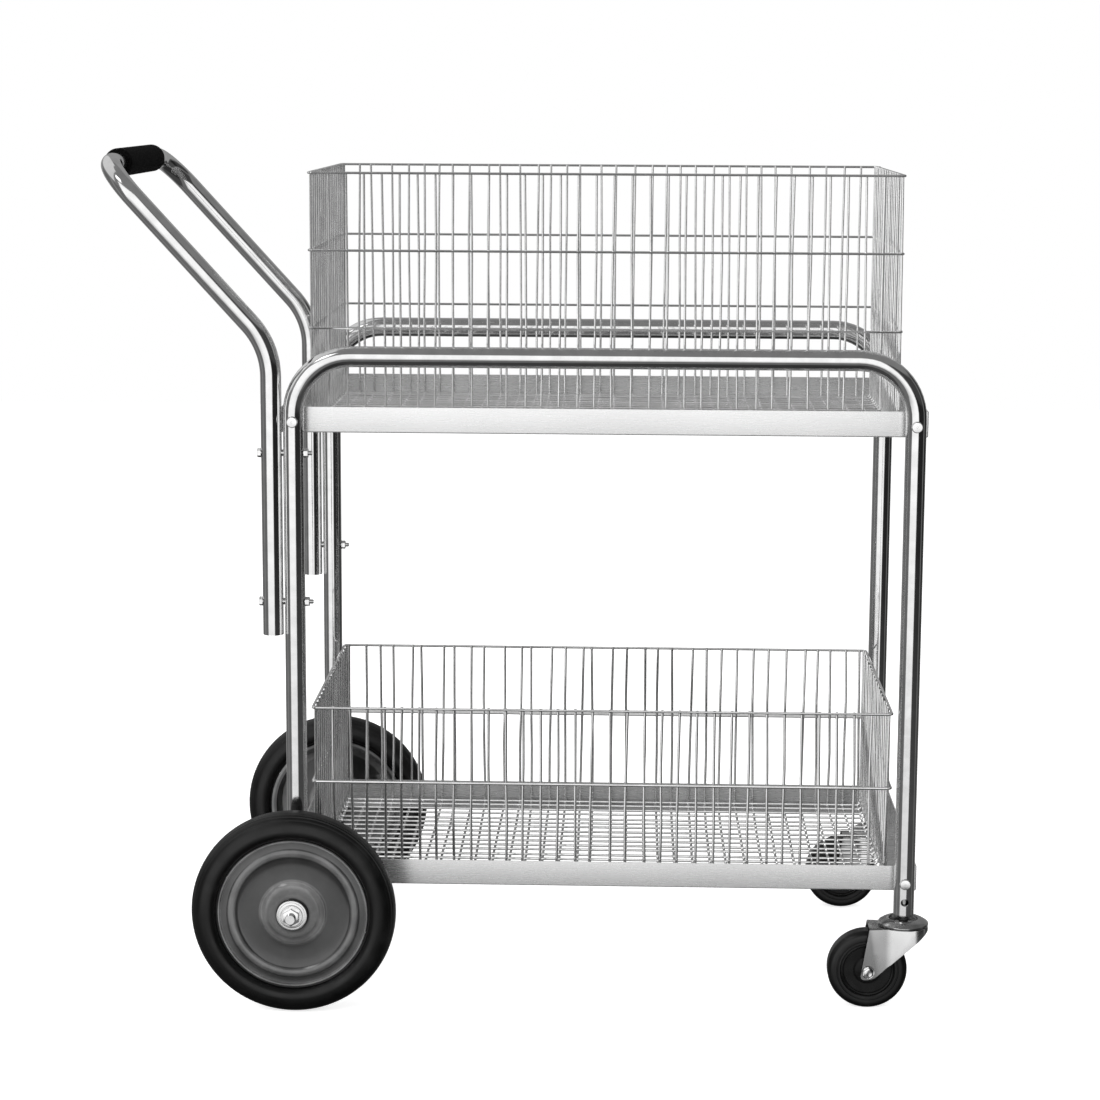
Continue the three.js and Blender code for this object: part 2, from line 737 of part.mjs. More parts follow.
// Casters under the front legs
for (const [side, name] of [[-1, 'right'], [1, 'left']]) {
  const under = [legX, side * sideY, 0];
  const wheel = [legX - casterTrail, side * sideY, casterHeight];
  addPiece(`caster_stem_${name}`, casterStem().translate(under), zincBolt);
  addPiece(`caster_fork_${name}`, casterFork().translate(under), zincSheet);
  addPiece(`caster_axle_${name}`, casterAxle().translate(wheel), zincBolt);
  addPiece(`caster_hub_${name}`, casterHub().translate(wheel), blackPlastic);
  addPiece(`caster_tyre_${name}`, casterTyre().translate(wheel), tyreRubber);
}

// The origin is on the floor, under the middle of the overall length
const overall = new THREE.Box3().setFromObject(cart);
cart.position.x = -overall.getCenter(new THREE.Vector3()).x;

export default cart;
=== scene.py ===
# %% [markdown]
# # A mail cart in chrome tube, sheet steel and wire
# An office mail cart has two bent tube frames, two sheet steel trays that carry wire baskets, a push
# handle bolted behind, big wheels at the rear and swivel casters in front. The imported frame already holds
# every part at its real size. This lesson makes the fine surfaces around it: round tubes and wires where the
# frame has flat facets, turned wheels, pressed forks, and a finish for each of them.

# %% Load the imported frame
import math
import random

import bmesh
import bpy
from mathutils import Matrix, Vector


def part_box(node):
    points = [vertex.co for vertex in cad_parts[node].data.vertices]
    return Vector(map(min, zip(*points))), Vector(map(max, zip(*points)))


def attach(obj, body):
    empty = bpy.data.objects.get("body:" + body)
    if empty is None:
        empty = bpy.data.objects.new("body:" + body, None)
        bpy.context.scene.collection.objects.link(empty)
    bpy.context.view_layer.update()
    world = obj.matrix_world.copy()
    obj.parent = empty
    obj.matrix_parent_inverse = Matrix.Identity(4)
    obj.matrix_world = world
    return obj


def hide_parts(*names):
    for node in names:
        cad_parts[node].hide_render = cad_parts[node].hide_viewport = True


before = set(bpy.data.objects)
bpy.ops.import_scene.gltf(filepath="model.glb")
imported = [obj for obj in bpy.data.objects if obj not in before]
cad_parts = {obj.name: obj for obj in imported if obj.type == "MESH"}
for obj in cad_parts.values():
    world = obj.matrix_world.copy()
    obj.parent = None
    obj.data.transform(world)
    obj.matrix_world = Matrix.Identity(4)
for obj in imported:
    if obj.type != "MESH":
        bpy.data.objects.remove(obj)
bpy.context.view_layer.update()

MM = 0.001
AXIS_X, AXIS_Y, AXIS_Z = (Vector(axis) for axis in ((1, 0, 0), (0, 1, 0), (0, 0, 1)))
SIDES = {"right": -1, "left": 1}


def middle(node):
    """The middle of a solid's box."""
    low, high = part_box(node)
    return (low + high) / 2


def radians(*degrees):
    """Angles in degrees, as Blender wants them."""
    return [math.radians(angle) for angle in degrees]



# %% [markdown]
# ## The view first
# A match to a photograph starts with its camera: every shape made later is judged through it. The lens and the
# place come from lines that are known on the cart, such as the two frames, whose legs are one spacing apart
# but look smaller at the far side. The camera stands a little higher than the cart and looks down at it. The
# lens has only a small shift, so the cart stays in the picture from every other side too.

# %% Camera
PHOTO_WIDTH = 1100
FOCAL_PIXELS = 2607.6
AXIS_ROW = 495
SENSOR = 36.0
CAMERA_PLACE = Vector((0.1346, -3.3363, 1.1274))
PITCH, YAW, ROLL = radians(8.82, 1.71, -0.27)

lens = bpy.data.cameras.new("Camera")
lens.sensor_width = SENSOR
lens.lens = FOCAL_PIXELS / PHOTO_WIDTH * SENSOR
lens.shift_y = (AXIS_ROW - PHOTO_WIDTH / 2) / PHOTO_WIDTH
camera = bpy.data.objects.new("Camera", lens)
level = Matrix.Rotation(YAW, 4, "Z") @ Matrix.Rotation(math.pi / 2 - PITCH, 4, "X")
camera.matrix_world = Matrix.Translation(CAMERA_PLACE) @ level @ Matrix.Rotation(-ROLL, 4, "Z")
bpy.context.scene.collection.objects.link(camera)
bpy.context.scene.camera = camera
bpy.context.scene.view_settings.view_transform = "Standard"
print("lens", round(lens.lens, 2), "mm, shift", round(lens.shift_y, 4))

# %% [markdown]
# ## Node helpers
# A material or a world is a graph of nodes. Building it in code gets long unless the usual steps have a
# name: a sum, a place, a soft step between two values, a noise laid on the piece, a ramp of shades, a relief.

# %% Node helpers
def calc(tree, operation, first, second=None):
    """One Math node: each term is a number or another node's output."""
    node = tree.nodes.new("ShaderNodeMath")
    node.operation = operation
    for socket, term in zip(node.inputs, (first, second)):
        if isinstance(term, bpy.types.NodeSocket):
            tree.links.new(term, socket)
        elif term is not None:
            socket.default_value = term
    return node.outputs[0]


def coordinates(tree, kind):
    """X, Y and Z of one kind of texture coordinate."""
    place = tree.nodes.new("ShaderNodeTexCoord")
    parts = tree.nodes.new("ShaderNodeSeparateXYZ")
    tree.links.new(place.outputs[kind], parts.inputs[0])
    return parts.outputs["X"], parts.outputs["Y"], parts.outputs["Z"]


def step(tree, value, start, end, low=0.0, high=1.0):
    """A soft step from low to high while value goes from start to end."""
    node = tree.nodes.new("ShaderNodeMapRange")
    node.interpolation_type = "SMOOTHSTEP"
    for name, number in (("From Min", start), ("From Max", end), ("To Min", low), ("To Max", high)):
        node.inputs[name].default_value = number
    tree.links.new(value, node.inputs["Value"])
    return node.outputs["Result"]


def window(tree, value, low, high, soft):
    """1 between low and high, 0 outside, with soft edges."""
    rise = step(tree, value, low - soft, low + soft)
    fall = step(tree, value, high - soft, high + soft, 1.0, 0.0)
    return calc(tree, "MULTIPLY", rise, fall)


def noise(tree, scale, detail=3.0, stretch=(1, 1, 1)):
    """Noise laid on the piece itself, in waves per metre."""
    place = tree.nodes.new("ShaderNodeTexCoord")
    mapping = tree.nodes.new("ShaderNodeMapping")
    mapping.inputs["Scale"].default_value = stretch
    texture = tree.nodes.new("ShaderNodeTexNoise")
    texture.inputs["Scale"].default_value = scale
    texture.inputs["Detail"].default_value = detail
    tree.links.new(place.outputs["Object"], mapping.inputs["Vector"])
    tree.links.new(mapping.outputs["Vector"], texture.inputs["Vector"])
    return texture.outputs[0]


def shades(tree, value, dark, light, start=0.35, end=0.65):
    """A ramp between two greys or colours."""
    ramp = tree.nodes.new("ShaderNodeValToRGB")
    for stop, place, shade in zip(ramp.color_ramp.elements, (start, end), (dark, light)):
        stop.position = place
        stop.color = (shade, shade, shade, 1) if isinstance(shade, float) else (*shade, 1)
    tree.links.new(value, ramp.inputs["Fac"])
    return ramp.outputs["Color"]


def relief(tree, shader, value, distance, strength=1.0):
    """Small bumps of that height in metres, added to any the shader has."""
    bump = tree.nodes.new("ShaderNodeBump")
    bump.inputs["Distance"].default_value = distance
    bump.inputs["Strength"].default_value = strength
    tree.links.new(value, bump.inputs["Height"])
    if shader.inputs["Normal"].is_linked:
        tree.links.new(shader.inputs["Normal"].links[0].from_socket, bump.inputs["Normal"])
    tree.links.new(bump.outputs["Normal"], shader.inputs["Normal"])


# %% [markdown]
# ## A studio that chrome can show
# Chrome has no colour of its own. What looks like a pale stripe between two dark ones is the room: a wide
# white panel in front, to the left, that fades towards the floor, with dim walls round it, a few small panels
# for the thin bright lines, and a flag on the right that keeps light off. Lamps and cards could stand round
# the cart, but here the world holds that room, for glossy rays only. The camera sees plain white.

# %% World
def angle_of(tree):
    """Azimuth from the camera's side, positive to the right, and elevation of a ray."""
    x, y, z = coordinates(tree, "Generated")
    return calc(tree, "ARCTAN2", x, calc(tree, "MULTIPLY", y, -1.0)), calc(tree, "ARCSINE", z)


def panel(tree, azimuth, elevation, across, upright, brightness, soft=0.07):
    """A bright panel in the room between two azimuths and two elevations, in degrees."""
    sides = window(tree, azimuth, *radians(*across), soft)
    rise = window(tree, elevation, *radians(*upright), soft)
    return calc(tree, "MULTIPLY", calc(tree, "MULTIPLY", sides, rise), brightness)


WALL_LEFT, WALL_RIGHT, WALL_TURN = 0.14, 0.065, 0.5
CEILING, CEILING_RISE = 0.20, 0.12
DARK_FLOOR, DARK_FLOOR_FADE = 0.6, (-50, -38)
FRONT_ACROSS, FRONT_UPRIGHT, FRONT_BRIGHTNESS = (-50, 22), (-24, 32), 1.1
FRONT_FADE, FRONT_FOOT = (-24, -6), 0.56
PANELS = [
    ((-70, 40), (-48, -20), 0.15),
    ((84, 98), (-50, 40), 0.15),
    ((-100, -82), (-50, 40), 0.22),
    ((-160, -68), (12, 72), 0.65),
    ((-58, -30), (40, 54), 2.6),
]
FLAG_ACROSS, FLAG_UPRIGHT, FLAG_SHADE = (27, 130), (-12, 33), 0.75
BACKDROP_ACROSS, BACKDROP_UPRIGHT, BACKDROP_BRIGHTNESS = (138, 200), (-35, 60), 0.30
DIFFUSE_FILL = 0.55

world = bpy.data.worlds.new("Studio")
bpy.context.scene.world = world
world.use_nodes = True
sky = world.node_tree
sky.nodes.clear()
azimuth, elevation = angle_of(sky)
wall = step(sky, azimuth, -WALL_TURN, WALL_TURN, WALL_LEFT, WALL_RIGHT)
above = step(sky, elevation, 0.0, CEILING_RISE, 0.0, CEILING)
below = step(sky, elevation, *radians(*DARK_FLOOR_FADE), 1 - DARK_FLOOR, 1.0)
room = calc(sky, "MULTIPLY", calc(sky, "MAXIMUM", wall, above), below)
flag = panel(sky, azimuth, elevation, FLAG_ACROSS, FLAG_UPRIGHT, FLAG_SHADE)
room = calc(sky, "MULTIPLY", room, calc(sky, "SUBTRACT", 1.0, flag))
front = panel(sky, azimuth, elevation, FRONT_ACROSS, FRONT_UPRIGHT, FRONT_BRIGHTNESS)
fade = step(sky, elevation, *radians(*FRONT_FADE), FRONT_FOOT, 1.0)
room = calc(sky, "MAXIMUM", room, calc(sky, "MULTIPLY", front, fade))
for across, upright, brightness in PANELS:
    room = calc(sky, "MAXIMUM", room, panel(sky, azimuth, elevation, across, upright, brightness))
turned_away = calc(sky, "ABSOLUTE", azimuth)
backdrop = panel(sky, turned_away, elevation, BACKDROP_ACROSS, BACKDROP_UPRIGHT, BACKDROP_BRIGHTNESS)
room = calc(sky, "MAXIMUM", room, backdrop)
rays = sky.nodes.new("ShaderNodeLightPath")
mirrored = calc(sky, "MAXIMUM", rays.outputs["Is Glossy Ray"], rays.outputs["Is Transmission Ray"])
plain = calc(sky, "MULTIPLY", calc(sky, "SUBTRACT", 1.0, mirrored), DIFFUSE_FILL)
lit = calc(sky, "ADD", calc(sky, "MULTIPLY", mirrored, room), plain)
shown = calc(sky, "MAXIMUM", lit, rays.outputs["Is Camera Ray"])
background = sky.nodes.new("ShaderNodeBackground")
output = sky.nodes.new("ShaderNodeOutputWorld")
sky.links.new(shown, background.inputs["Color"])
sky.links.new(background.outputs[0], output.inputs["Surface"])
print("room of", len(sky.nodes), "nodes")

# %% [markdown]
# ### Lamps
# Four soft square lamps light the rubber, the paint and the foam from the front, the side, above and behind.
# Metal doesn't mirror them, because the room in the world already gives it every reflection.

# %% Lamps
AIM = Vector((0.0, 0.0, 0.5))


def lamp(name, place, size, power):
    """A soft square lamp that looks at the cart."""
    light = bpy.data.lights.new(name, "AREA")
    light.size = size
    light.energy = power
    holder = bpy.data.objects.new(name, light)
    away = Vector(place) - AIM
    holder.matrix_world = Matrix.Translation(place) @ away.to_track_quat("Z", "Y").to_matrix().to_4x4()
    holder.visible_glossy = False
    bpy.context.scene.collection.objects.link(holder)


lamp("Key", (-1.8, -2.7, 2.3), 1.5, 46)
lamp("Fill", (2.4, -1.8, 1.4), 1.3, 14)
lamp("Top", (0.2, -0.5, 3.2), 1.0, 22)
lamp("Rear", (-0.6, 2.8, 1.9), 1.6, 18)

# %% [markdown]
# ## Floor
# The floor is a plain sheet that keeps a faint shadow. To the camera it is nearly as white as the world, so
# no edge shows, and glossy rays pass through it, because the room that the chrome shows is in the world.

# %% Floor
FLOOR_HALF = 6.0
floor_mesh = bpy.data.meshes.new("Floor")
sheet = bmesh.new()
bmesh.ops.create_grid(sheet, x_segments=1, y_segments=1, size=FLOOR_HALF)
sheet.to_mesh(floor_mesh)
sheet.free()
floor = bpy.data.objects.new("Floor", floor_mesh)
bpy.context.scene.collection.objects.link(floor)
FLOOR_GREY, FLOOR_GLOW = 0.8, 0.72
floor_finish = bpy.data.materials.new("White floor")
floor_finish.use_nodes = True
tree = floor_finish.node_tree
tree.nodes.clear()
matt = tree.nodes.new("ShaderNodeBsdfDiffuse")
matt.inputs["Color"].default_value = (FLOOR_GREY, FLOOR_GREY, FLOOR_GREY, 1)
glow = tree.nodes.new("ShaderNodeEmission")
rays = tree.nodes.new("ShaderNodeLightPath")
tree.links.new(calc(tree, "MULTIPLY", rays.outputs["Is Camera Ray"], FLOOR_GLOW), glow.inputs["Strength"])
seen = tree.nodes.new("ShaderNodeAddShader")
tree.links.new(matt.outputs[0], seen.inputs[0])
tree.links.new(glow.outputs[0], seen.inputs[1])
clear = tree.nodes.new("ShaderNodeBsdfTransparent")
choice = tree.nodes.new("ShaderNodeMixShader")
tree.links.new(rays.outputs["Is Glossy Ray"], choice.inputs["Fac"])
tree.links.new(seen.outputs[0], choice.inputs[1])
tree.links.new(clear.outputs[0], choice.inputs[2])
target = tree.nodes.new("ShaderNodeOutputMaterial")
tree.links.new(choice.outputs[0], target.inputs["Surface"])
floor_mesh.materials.append(floor_finish)

# %% [markdown]
# ## Finishes
# The cart has twelve finishes, ten recipes of which two come in a second shade. Each starts from one
# Principled shader whose plain numbers sit on its own sockets, and only what varies over the surface gets
# nodes: handling marks in the chrome, the grain of the zinc, dust on the rubber, the cells of the foam.

# %% Material starter
def finish(name, sockets):
    """A new material and its shader, with the plain numbers set."""
    made = bpy.data.materials.new(name)
    made.use_nodes = True
    shader = made.node_tree.nodes["Principled BSDF"]
    for socket, value in sockets.items():
        shader.inputs[socket].default_value = value
    print("finish", name, sockets)
    return made, made.node_tree, shader


def tint(tree, shader, value, dark, light, start=0.35, end=0.65):
    """Lets a pattern drive the colour of the shader."""
    tree.links.new(shades(tree, value, dark, light, start, end), shader.inputs["Base Color"])


def vary(tree, shader, socket, value, low, high, start=0.35, end=0.65):
    """Lets a pattern drive one number of the shader."""
    tree.links.new(step(tree, value, start, end, low, high), shader.inputs[socket])


# %% [markdown]
# ### Chrome tube
# Bright plating over drawn tube. It is never a perfect mirror: long draw marks and a slight orange peel make
# the reflected bands waver, and hands leave duller patches. Two noises in the relief and one in the
# roughness do that. A darker base would only look dirty, so the colour varies very little.

# %% Chrome
chrome, tree, shader = finish("Chrome plate", {"Metallic": 1.0})
tint(tree, shader, noise(tree, 55, 6), 0.80, 0.90)
vary(tree, shader, "Roughness", noise(tree, 14, 5), 0.045, 0.12)
relief(tree, shader, noise(tree, 38, 2), 0.00022, 0.35)
relief(tree, shader, noise(tree, 700, 2), 0.00002, 0.25)

# %% [markdown]
# ### Plated wire
# The basket wire is plated too, but it is drawn and not polished, so it is softer in its reflections, and
# every weld and bend leaves a mark. Its shade wanders along each wire. The lower basket gets more metal and
# less diffuse light, which paints in the shade of the tier above it, and the share of metal in the finish tells
# them apart.

# %% Wire
def plated_wire(tier, metal):
    """The finish of one basket's wires."""
    made, tree, shader = finish(f"Plated wire, {tier}", {"Metallic": metal})
    tint(tree, shader, noise(tree, 30, 4), 0.82, 0.97, 0.30, 0.62)
    vary(tree, shader, "Roughness", noise(tree, 24, 3), 0.08, 0.16)
    relief(tree, shader, noise(tree, 60, 2), 0.00008, 0.3)
    return made


# Painted shade: the lower basket's larger share of metal makes it darker, as if shaded by the upper one.
WIRE_FINISHES = {"upper": plated_wire("upper", 0.78), "lower": plated_wire("lower", 0.96)}

# %% [markdown]
# ### Zinc sheet
# Electroplated sheet is pale and satin. Rolling leaves a fine grain along the length, which is a noise
# squeezed hard in the other two directions. The same recipe in darker shades is painted shade on the inside of
# a tray.

# %% Sheet
def zinc_sheet(name, dark, light):
    """Plated sheet between two shades."""
    made, tree, shader = finish(name, {"Metallic": 0.8})
    tint(tree, shader, noise(tree, 5, 5, (1, 3, 3)), dark, light)
    vary(tree, shader, "Roughness", noise(tree, 420, 4, (0.05, 1, 1)), 0.27, 0.28)
    relief(tree, shader, noise(tree, 4, 2), 0.0004, 0.2)
    relief(tree, shader, noise(tree, 420, 3, (0.05, 1, 1)), 0.000001, 0.10)
    return made


sheet_finish = zinc_sheet("Zinc sheet", 0.92, 0.97)
# Painted shade: the darker inside of each tray stands in for the shade that falls there.
painted_shade_inside_finish = zinc_sheet("Zinc sheet, inside in painted shade", 0.56, 0.68)

# %% [markdown]
# ### Bolts, forks and races
# Bolts and nuts stay bright. A fork is pressed before it is plated, so its sides wave a little, and behind
# the press line its base colour is darker, painted shade for the dim reflection of its rear third. The races
# are the darkest. The three could share one material, but metal is told apart by its shade and roughness, so
# each has its own.

# %% Fasteners
bolt_finish, tree, shader = finish("Bright zinc", {"Metallic": 1.0})
tint(tree, shader, noise(tree, 120, 3), 0.88, 0.96)
vary(tree, shader, "Roughness", noise(tree, 150, 3), 0.10, 0.18)
relief(tree, shader, noise(tree, 500, 2), 0.00001, 0.3)

# %% Pressed fork plate
PAINTED_SHADE_FROM, PAINTED_SHADE_RUN, PAINTED_SHADE_LEVEL = -24 * MM, 10 * MM, 0.55
fork_finish, tree, shader = finish("Fork plate", {"Metallic": 1.0})
painted_shade_to = middle("caster_stem_right").x + PAINTED_SHADE_FROM
x, y, z = coordinates(tree, "Object")
# Painted shade: the base colour darkens behind the press line, for the dim reflection of the fork's rear third.
painted_shade = step(tree, x, painted_shade_to, painted_shade_to + PAINTED_SHADE_RUN, PAINTED_SHADE_LEVEL, 1.0)
plate = shades(tree, noise(tree, 30, 5), 0.74, 0.90)
tree.links.new(calc(tree, "MULTIPLY", plate, painted_shade), shader.inputs["Base Color"])
vary(tree, shader, "Roughness", noise(tree, 60, 4), 0.16, 0.28)
relief(tree, shader, noise(tree, 22, 1), 0.0012, 0.30)
relief(tree, shader, noise(tree, 700, 2, (1, 1, 0.08)), 0.00002, 0.3)

# %% Race plate
race_finish, tree, shader = finish("Race plate", {"Metallic": 1.0})
tint(tree, shader, noise(tree, 40, 5), 0.38, 0.56)
vary(tree, shader, "Roughness", noise(tree, 90, 4), 0.14, 0.26)

# %% [markdown]
# ### Rubber, paint and foam
# These don't mirror the room, so their detail is in colour and in relief. The tyres carry pale dust in
# patches. The hubs are stoved grey enamel under a gloss coat with a light orange peel, and the enamel's shade
# follows
# the distance from the axle: paler on the boss, its shoulder, the raised ring and the lip, partly its own grey
# and partly painted highlight where those rings catch the light. The foam grip is nearly black and quite matt,
# with the tiny cells of its skin.

# %% Rubber
rubber, tree, shader = finish("Tyre rubber", {"Specular IOR Level": 0.45})
dust = noise(tree, 22, 8)
tint(tree, shader, dust, 0.0022, 0.016, 0.56, 0.86)
vary(tree, shader, "Roughness", noise(tree, 30, 5), 0.30, 0.42)
relief(tree, shader, noise(tree, 800, 3), 0.00005, 0.4)

# %% Hub enamel
# Distance from the axle in millimetres and enamel shade; the pale bands are partly the paint's grey and partly
# painted highlight.
PAINT_AND_HIGHLIGHT_RINGS = [
    (0, 0.016), (20, 0.016), (23, 0.085), (31, 0.080), (35, 0.190), (39, 0.170), (43, 0.018), (65, 0.016),
    (70.5, 0.020), (72.5, 0.115), (79.5, 0.105), (81.5, 0.030), (88.5, 0.030), (90.5, 0.170), (94, 0.170),
]
PAINT_REACH = 100


def distance_from_axle(tree, centre):
    """How far a point of a wheel is from its axle, in millimetres."""
    x, y, z = coordinates(tree, "Object")
    forward, upward = calc(tree, "SUBTRACT", x, centre.x), calc(tree, "SUBTRACT", z, centre.z)
    squares = [calc(tree, "MULTIPLY", leg, leg) for leg in (forward, upward)]
    return calc(tree, "DIVIDE", calc(tree, "SQRT", calc(tree, "ADD", *squares)), MM)


def rings(tree, distance, stops, reach):
    """Shades that change with a distance, as pairs of distance and shade."""
    ramp = tree.nodes.new("ShaderNodeValToRGB")
    line = ramp.color_ramp.elements
    line.remove(line[1])
    for at, shade in stops:
        stop = line[0] if at == 0 else line.new(at / reach)
        stop.color = (shade, shade, shade, 1)
    tree.links.new(calc(tree, "DIVIDE", distance, reach), ramp.inputs["Fac"])
    return ramp.outputs["Color"]


enamel, tree, shader = finish("Grey enamel", {
    "Coat Weight": 1.0, "Coat Roughness": 0.06, "Coat IOR": 1.7, "Specular IOR Level": 0.3,
})
# Painted highlight in part: the enamel is paler on the raised rings, by distance from the axle.
paint = rings(tree, distance_from_axle(tree, middle("rear_hub_right")), PAINT_AND_HIGHLIGHT_RINGS, PAINT_REACH)
patches = step(tree, noise(tree, 26, 5), 0.35, 0.65, 0.7, 1.3)
tree.links.new(calc(tree, "MULTIPLY", paint, patches), shader.inputs["Base Color"])
vary(tree, shader, "Roughness", noise(tree, 40, 3), 0.30, 0.45)
relief(tree, shader, noise(tree, 70, 2), 0.0002, 0.30)

# %% Moulded plastic
plastic, tree, shader = finish("Black moulding", {"Specular IOR Level": 0.2})
tint(tree, shader, noise(tree, 60, 5), 0.004, 0.009)
vary(tree, shader, "Roughness", noise(tree, 90, 4), 0.22, 0.36)
relief(tree, shader, noise(tree, 1000, 2), 0.00003, 0.5)

# %% Foam
foam, tree, shader = finish("Grip foam", {"Specular IOR Level": 0.05})
tint(tree, shader, noise(tree, 400, 4), 0.001, 0.005)
vary(tree, shader, "Roughness", noise(tree, 500, 3), 0.72, 0.92)
relief(tree, shader, noise(tree, 1500, 3), 0.00025, 0.6)

# %% [markdown]
# ## Making a piece
# Every piece ends the same way: doubles are merged, faces are turned outwards, round surfaces are shaded
# smooth and true corners are marked sharp. Then it rides on its body and stands for the facetted solids.

# %% Piece helpers
WELD = 0.00002
SHARP_ANGLE = math.radians(38)


def turn_outwards(bm):
    """Merges doubles and points the faces away from the inside."""
    bmesh.ops.remove_doubles(bm, verts=bm.verts, dist=WELD)
    bmesh.ops.recalc_face_normals(bm, faces=bm.faces)


def piece(name, bm, material, body, slot, *solids):
    """The finished mesh as an object at the origin, riding on its body."""
    turn_outwards(bm)
    return dressed(name, bm, material, body, slot, *solids)


def dressed(name, bm, material, body, slot, *solids):
    """A mesh whose faces are turned already, as a piece."""
    for face in bm.faces:
        face.smooth = True
    mesh = bpy.data.meshes.new(name)
    bm.to_mesh(mesh)
    bm.free()
    mesh.set_sharp_from_angle(angle=SHARP_ANGLE)
    mesh.materials.append(material)
    thing = bpy.data.objects.new(name, mesh)
    bpy.context.scene.collection.objects.link(thing)
    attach(thing, body)
    if solids:
        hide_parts(*solids)
    print(name, len(mesh.polygons), "faces")
    return thing


def placed(centre, direction):
    """A matrix that puts a shape at centre with its own Z along direction."""
    return Matrix.Translation(centre) @ direction.to_track_quat("Z", "Y").to_matrix().to_4x4()


def only(result, kind):
    """The items of one kind in what a bmesh operator returns."""
    return [item for item in result if isinstance(item, kind)]


def extruded(bm, edges):
    """Grows faces from edges, and gives the new vertices and the new far edges."""
    made = bmesh.ops.extrude_edge_only(bm, edges=edges)["geom"]
    verts = only(made, bmesh.types.BMVert)
    fresh = set(verts)
    return verts, [edge for edge in only(made, bmesh.types.BMEdge) if set(edge.verts) <= fresh]


def whole(bm):
    """All of a mesh, for an operator that takes any geometry."""
    return [*bm.verts, *bm.edges, *bm.faces]


# %% [markdown]
# ## Bending tube
# A tube is made the way a bending machine makes it. One ring of edges is fed forward, and where the tube
# bends, the ring is spun about the centre of the bend. A curve with a round profile would do it too, but
# the spin gives exact arcs and puts the rings only where they are needed.

# %% Tube bender
class Bender:
    """Feeds a ring of edges along the middle of a tube or wire."""

    def __init__(self, start, heading, radius, sides, bm=None):
        self.bm = bm or bmesh.new()
        self.at = Vector(start)
        self.heading = Vector(heading).normalized()
        self.radius = radius
        made = bmesh.ops.create_circle(
            self.bm, segments=sides, radius=radius, matrix=placed(self.at, self.heading)
        )
        self.ring = list({edge for vert in made["verts"] for edge in vert.link_edges})
        self.first = list(self.ring)

    def feed(self, length, drift=None):
        """Straight on by a length, with an optional small drift to one side."""
        verts, self.ring = extruded(self.bm, self.ring)
        step_by = self.heading * length + (drift or Vector())
        bmesh.ops.translate(self.bm, verts=verts, vec=step_by)
        self.at += step_by

    def bend(self, towards, radius, angle, steps):
        """Round a bend towards a direction square to the heading."""
        side = (towards - self.heading * towards.dot(self.heading)).normalized()
        centre = self.at + side * radius
        axis = self.heading.cross(side)
        turn = Matrix.Rotation(angle, 3, axis)
        made = bmesh.ops.spin(
            self.bm, geom=self.ring, cent=centre, axis=axis, angle=angle, steps=steps, use_merge=False
        )
        self.ring = only(made["geom_last"], bmesh.types.BMEdge)
        self.at = centre + turn @ (self.at - centre)
        self.heading = turn @ self.heading

    def open_end(self, ring, at, outward, wall, depth):
        """The cut end of a tube: its wall, and a length of its bore."""
        inner = 1 - wall / self.radius
        verts, lip = extruded(self.bm, ring)
        bmesh.ops.scale(self.bm, verts=verts, vec=(inner, inner, inner), space=Matrix.Translation(-at))
        verts, seat = extruded(self.bm, lip)
        bmesh.ops.translate(self.bm, verts=verts, vec=-outward * depth)
        bmesh.ops.edgeloop_fill(self.bm, edges=seat)

    def fill_ends(self):
        """Closes both ends with a flat face."""
        for ring in (self.first, self.ring):
            bmesh.ops.edgeloop_fill(self.bm, edges=ring)


# %% [markdown]
# ## Turning
# Wheels, washers, domed heads and the ball race are all turned shapes. A few profile vertices are spun once
# round the axis. A profile is written as pairs of radius and distance along the axis, in millimetres, and its
# round stretches come from an arc. A screw modifier would do it too, but a spin merges its seam at once.

# %% Lathe helpers
def arc(radius, along, reach, start, end, count):
    """Points of a round stretch of a profile, between two angles in degrees."""
    angles = [math.radians(start + (end - start) * i / count) for i in range(count + 1)]
    return [(radius + reach * math.cos(a), along + reach * math.sin(a)) for a in angles]


def turned(profile, centre, axis, steps, bm=None):
    """A profile spun once round an axis through centre. An open profile ends on the axis."""
    bm = bm or bmesh.new()
    spoke = AXIS_X if abs(axis.z) > abs(axis.x) or abs(axis.y) > 0.5 else AXIS_Z
    rail = [bm.verts.new(centre + spoke * (radius * MM) + axis * (along * MM)) for radius, along in profile]
    edges = [bm.edges.new(pair) for pair in zip(rail, rail[1:])]
    bmesh.ops.spin(
        bm, geom=rail + edges, cent=centre, axis=axis, angle=math.tau, steps=steps, use_merge=True
    )
    return bm


def flipped(profile):
    """A profile's points seen from the other side, in turned order."""
    return [(radius, -along) for radius, along in reversed(profile)]


def hexagon(bm, seat, axis, across, height, chamfer):
    """A hexagon head or nut: a six-sided circle, extruded and chamfered on its outer face."""
    radius = across / 2 / math.cos(math.pi / 6) * MM
    made = bmesh.ops.create_circle(bm, segments=6, radius=radius, matrix=placed(seat, axis), cap_ends=True)
    base = list({face for vert in made["verts"] for face in vert.link_faces})
    grown = bmesh.ops.extrude_face_region(bm, geom=base)["geom"]
    top = only(grown, bmesh.types.BMFace)
    bmesh.ops.translate(bm, verts=only(grown, bmesh.types.BMVert), vec=axis * (height * MM))
    rim = list({edge for face in top for edge in face.edges})
    bmesh.ops.bevel(
        bm, geom=rim, offset=chamfer * MM, segments=2, profile=0.5, affect="EDGES", material=-1
    )
    gaps = [edge for edge in bm.edges if edge.is_boundary]
    bmesh.ops.holes_fill(bm, edges=gaps, sides=6)


def thread(radius, start, end, pitch, depth):
    """The profile of a threaded stub, from the axis at start to the axis at end."""
    turns = int((end - start) / pitch)
    points = [(0, start), (radius, start)]
    for i in range(turns):
        points.append((radius, start + i * pitch + 0.25 * pitch))
        points.append((radius - depth, start + (i + 0.6) * pitch))
    return points + [(radius - depth, end), (0, end)]


# %% [markdown]
# ## Side frames
# Each side is one tube: up the rear leg, along the top rail and down the front leg. Both legs end open, and
# the front one takes the caster's post and has a small peg hole, so its bore has to be real there.

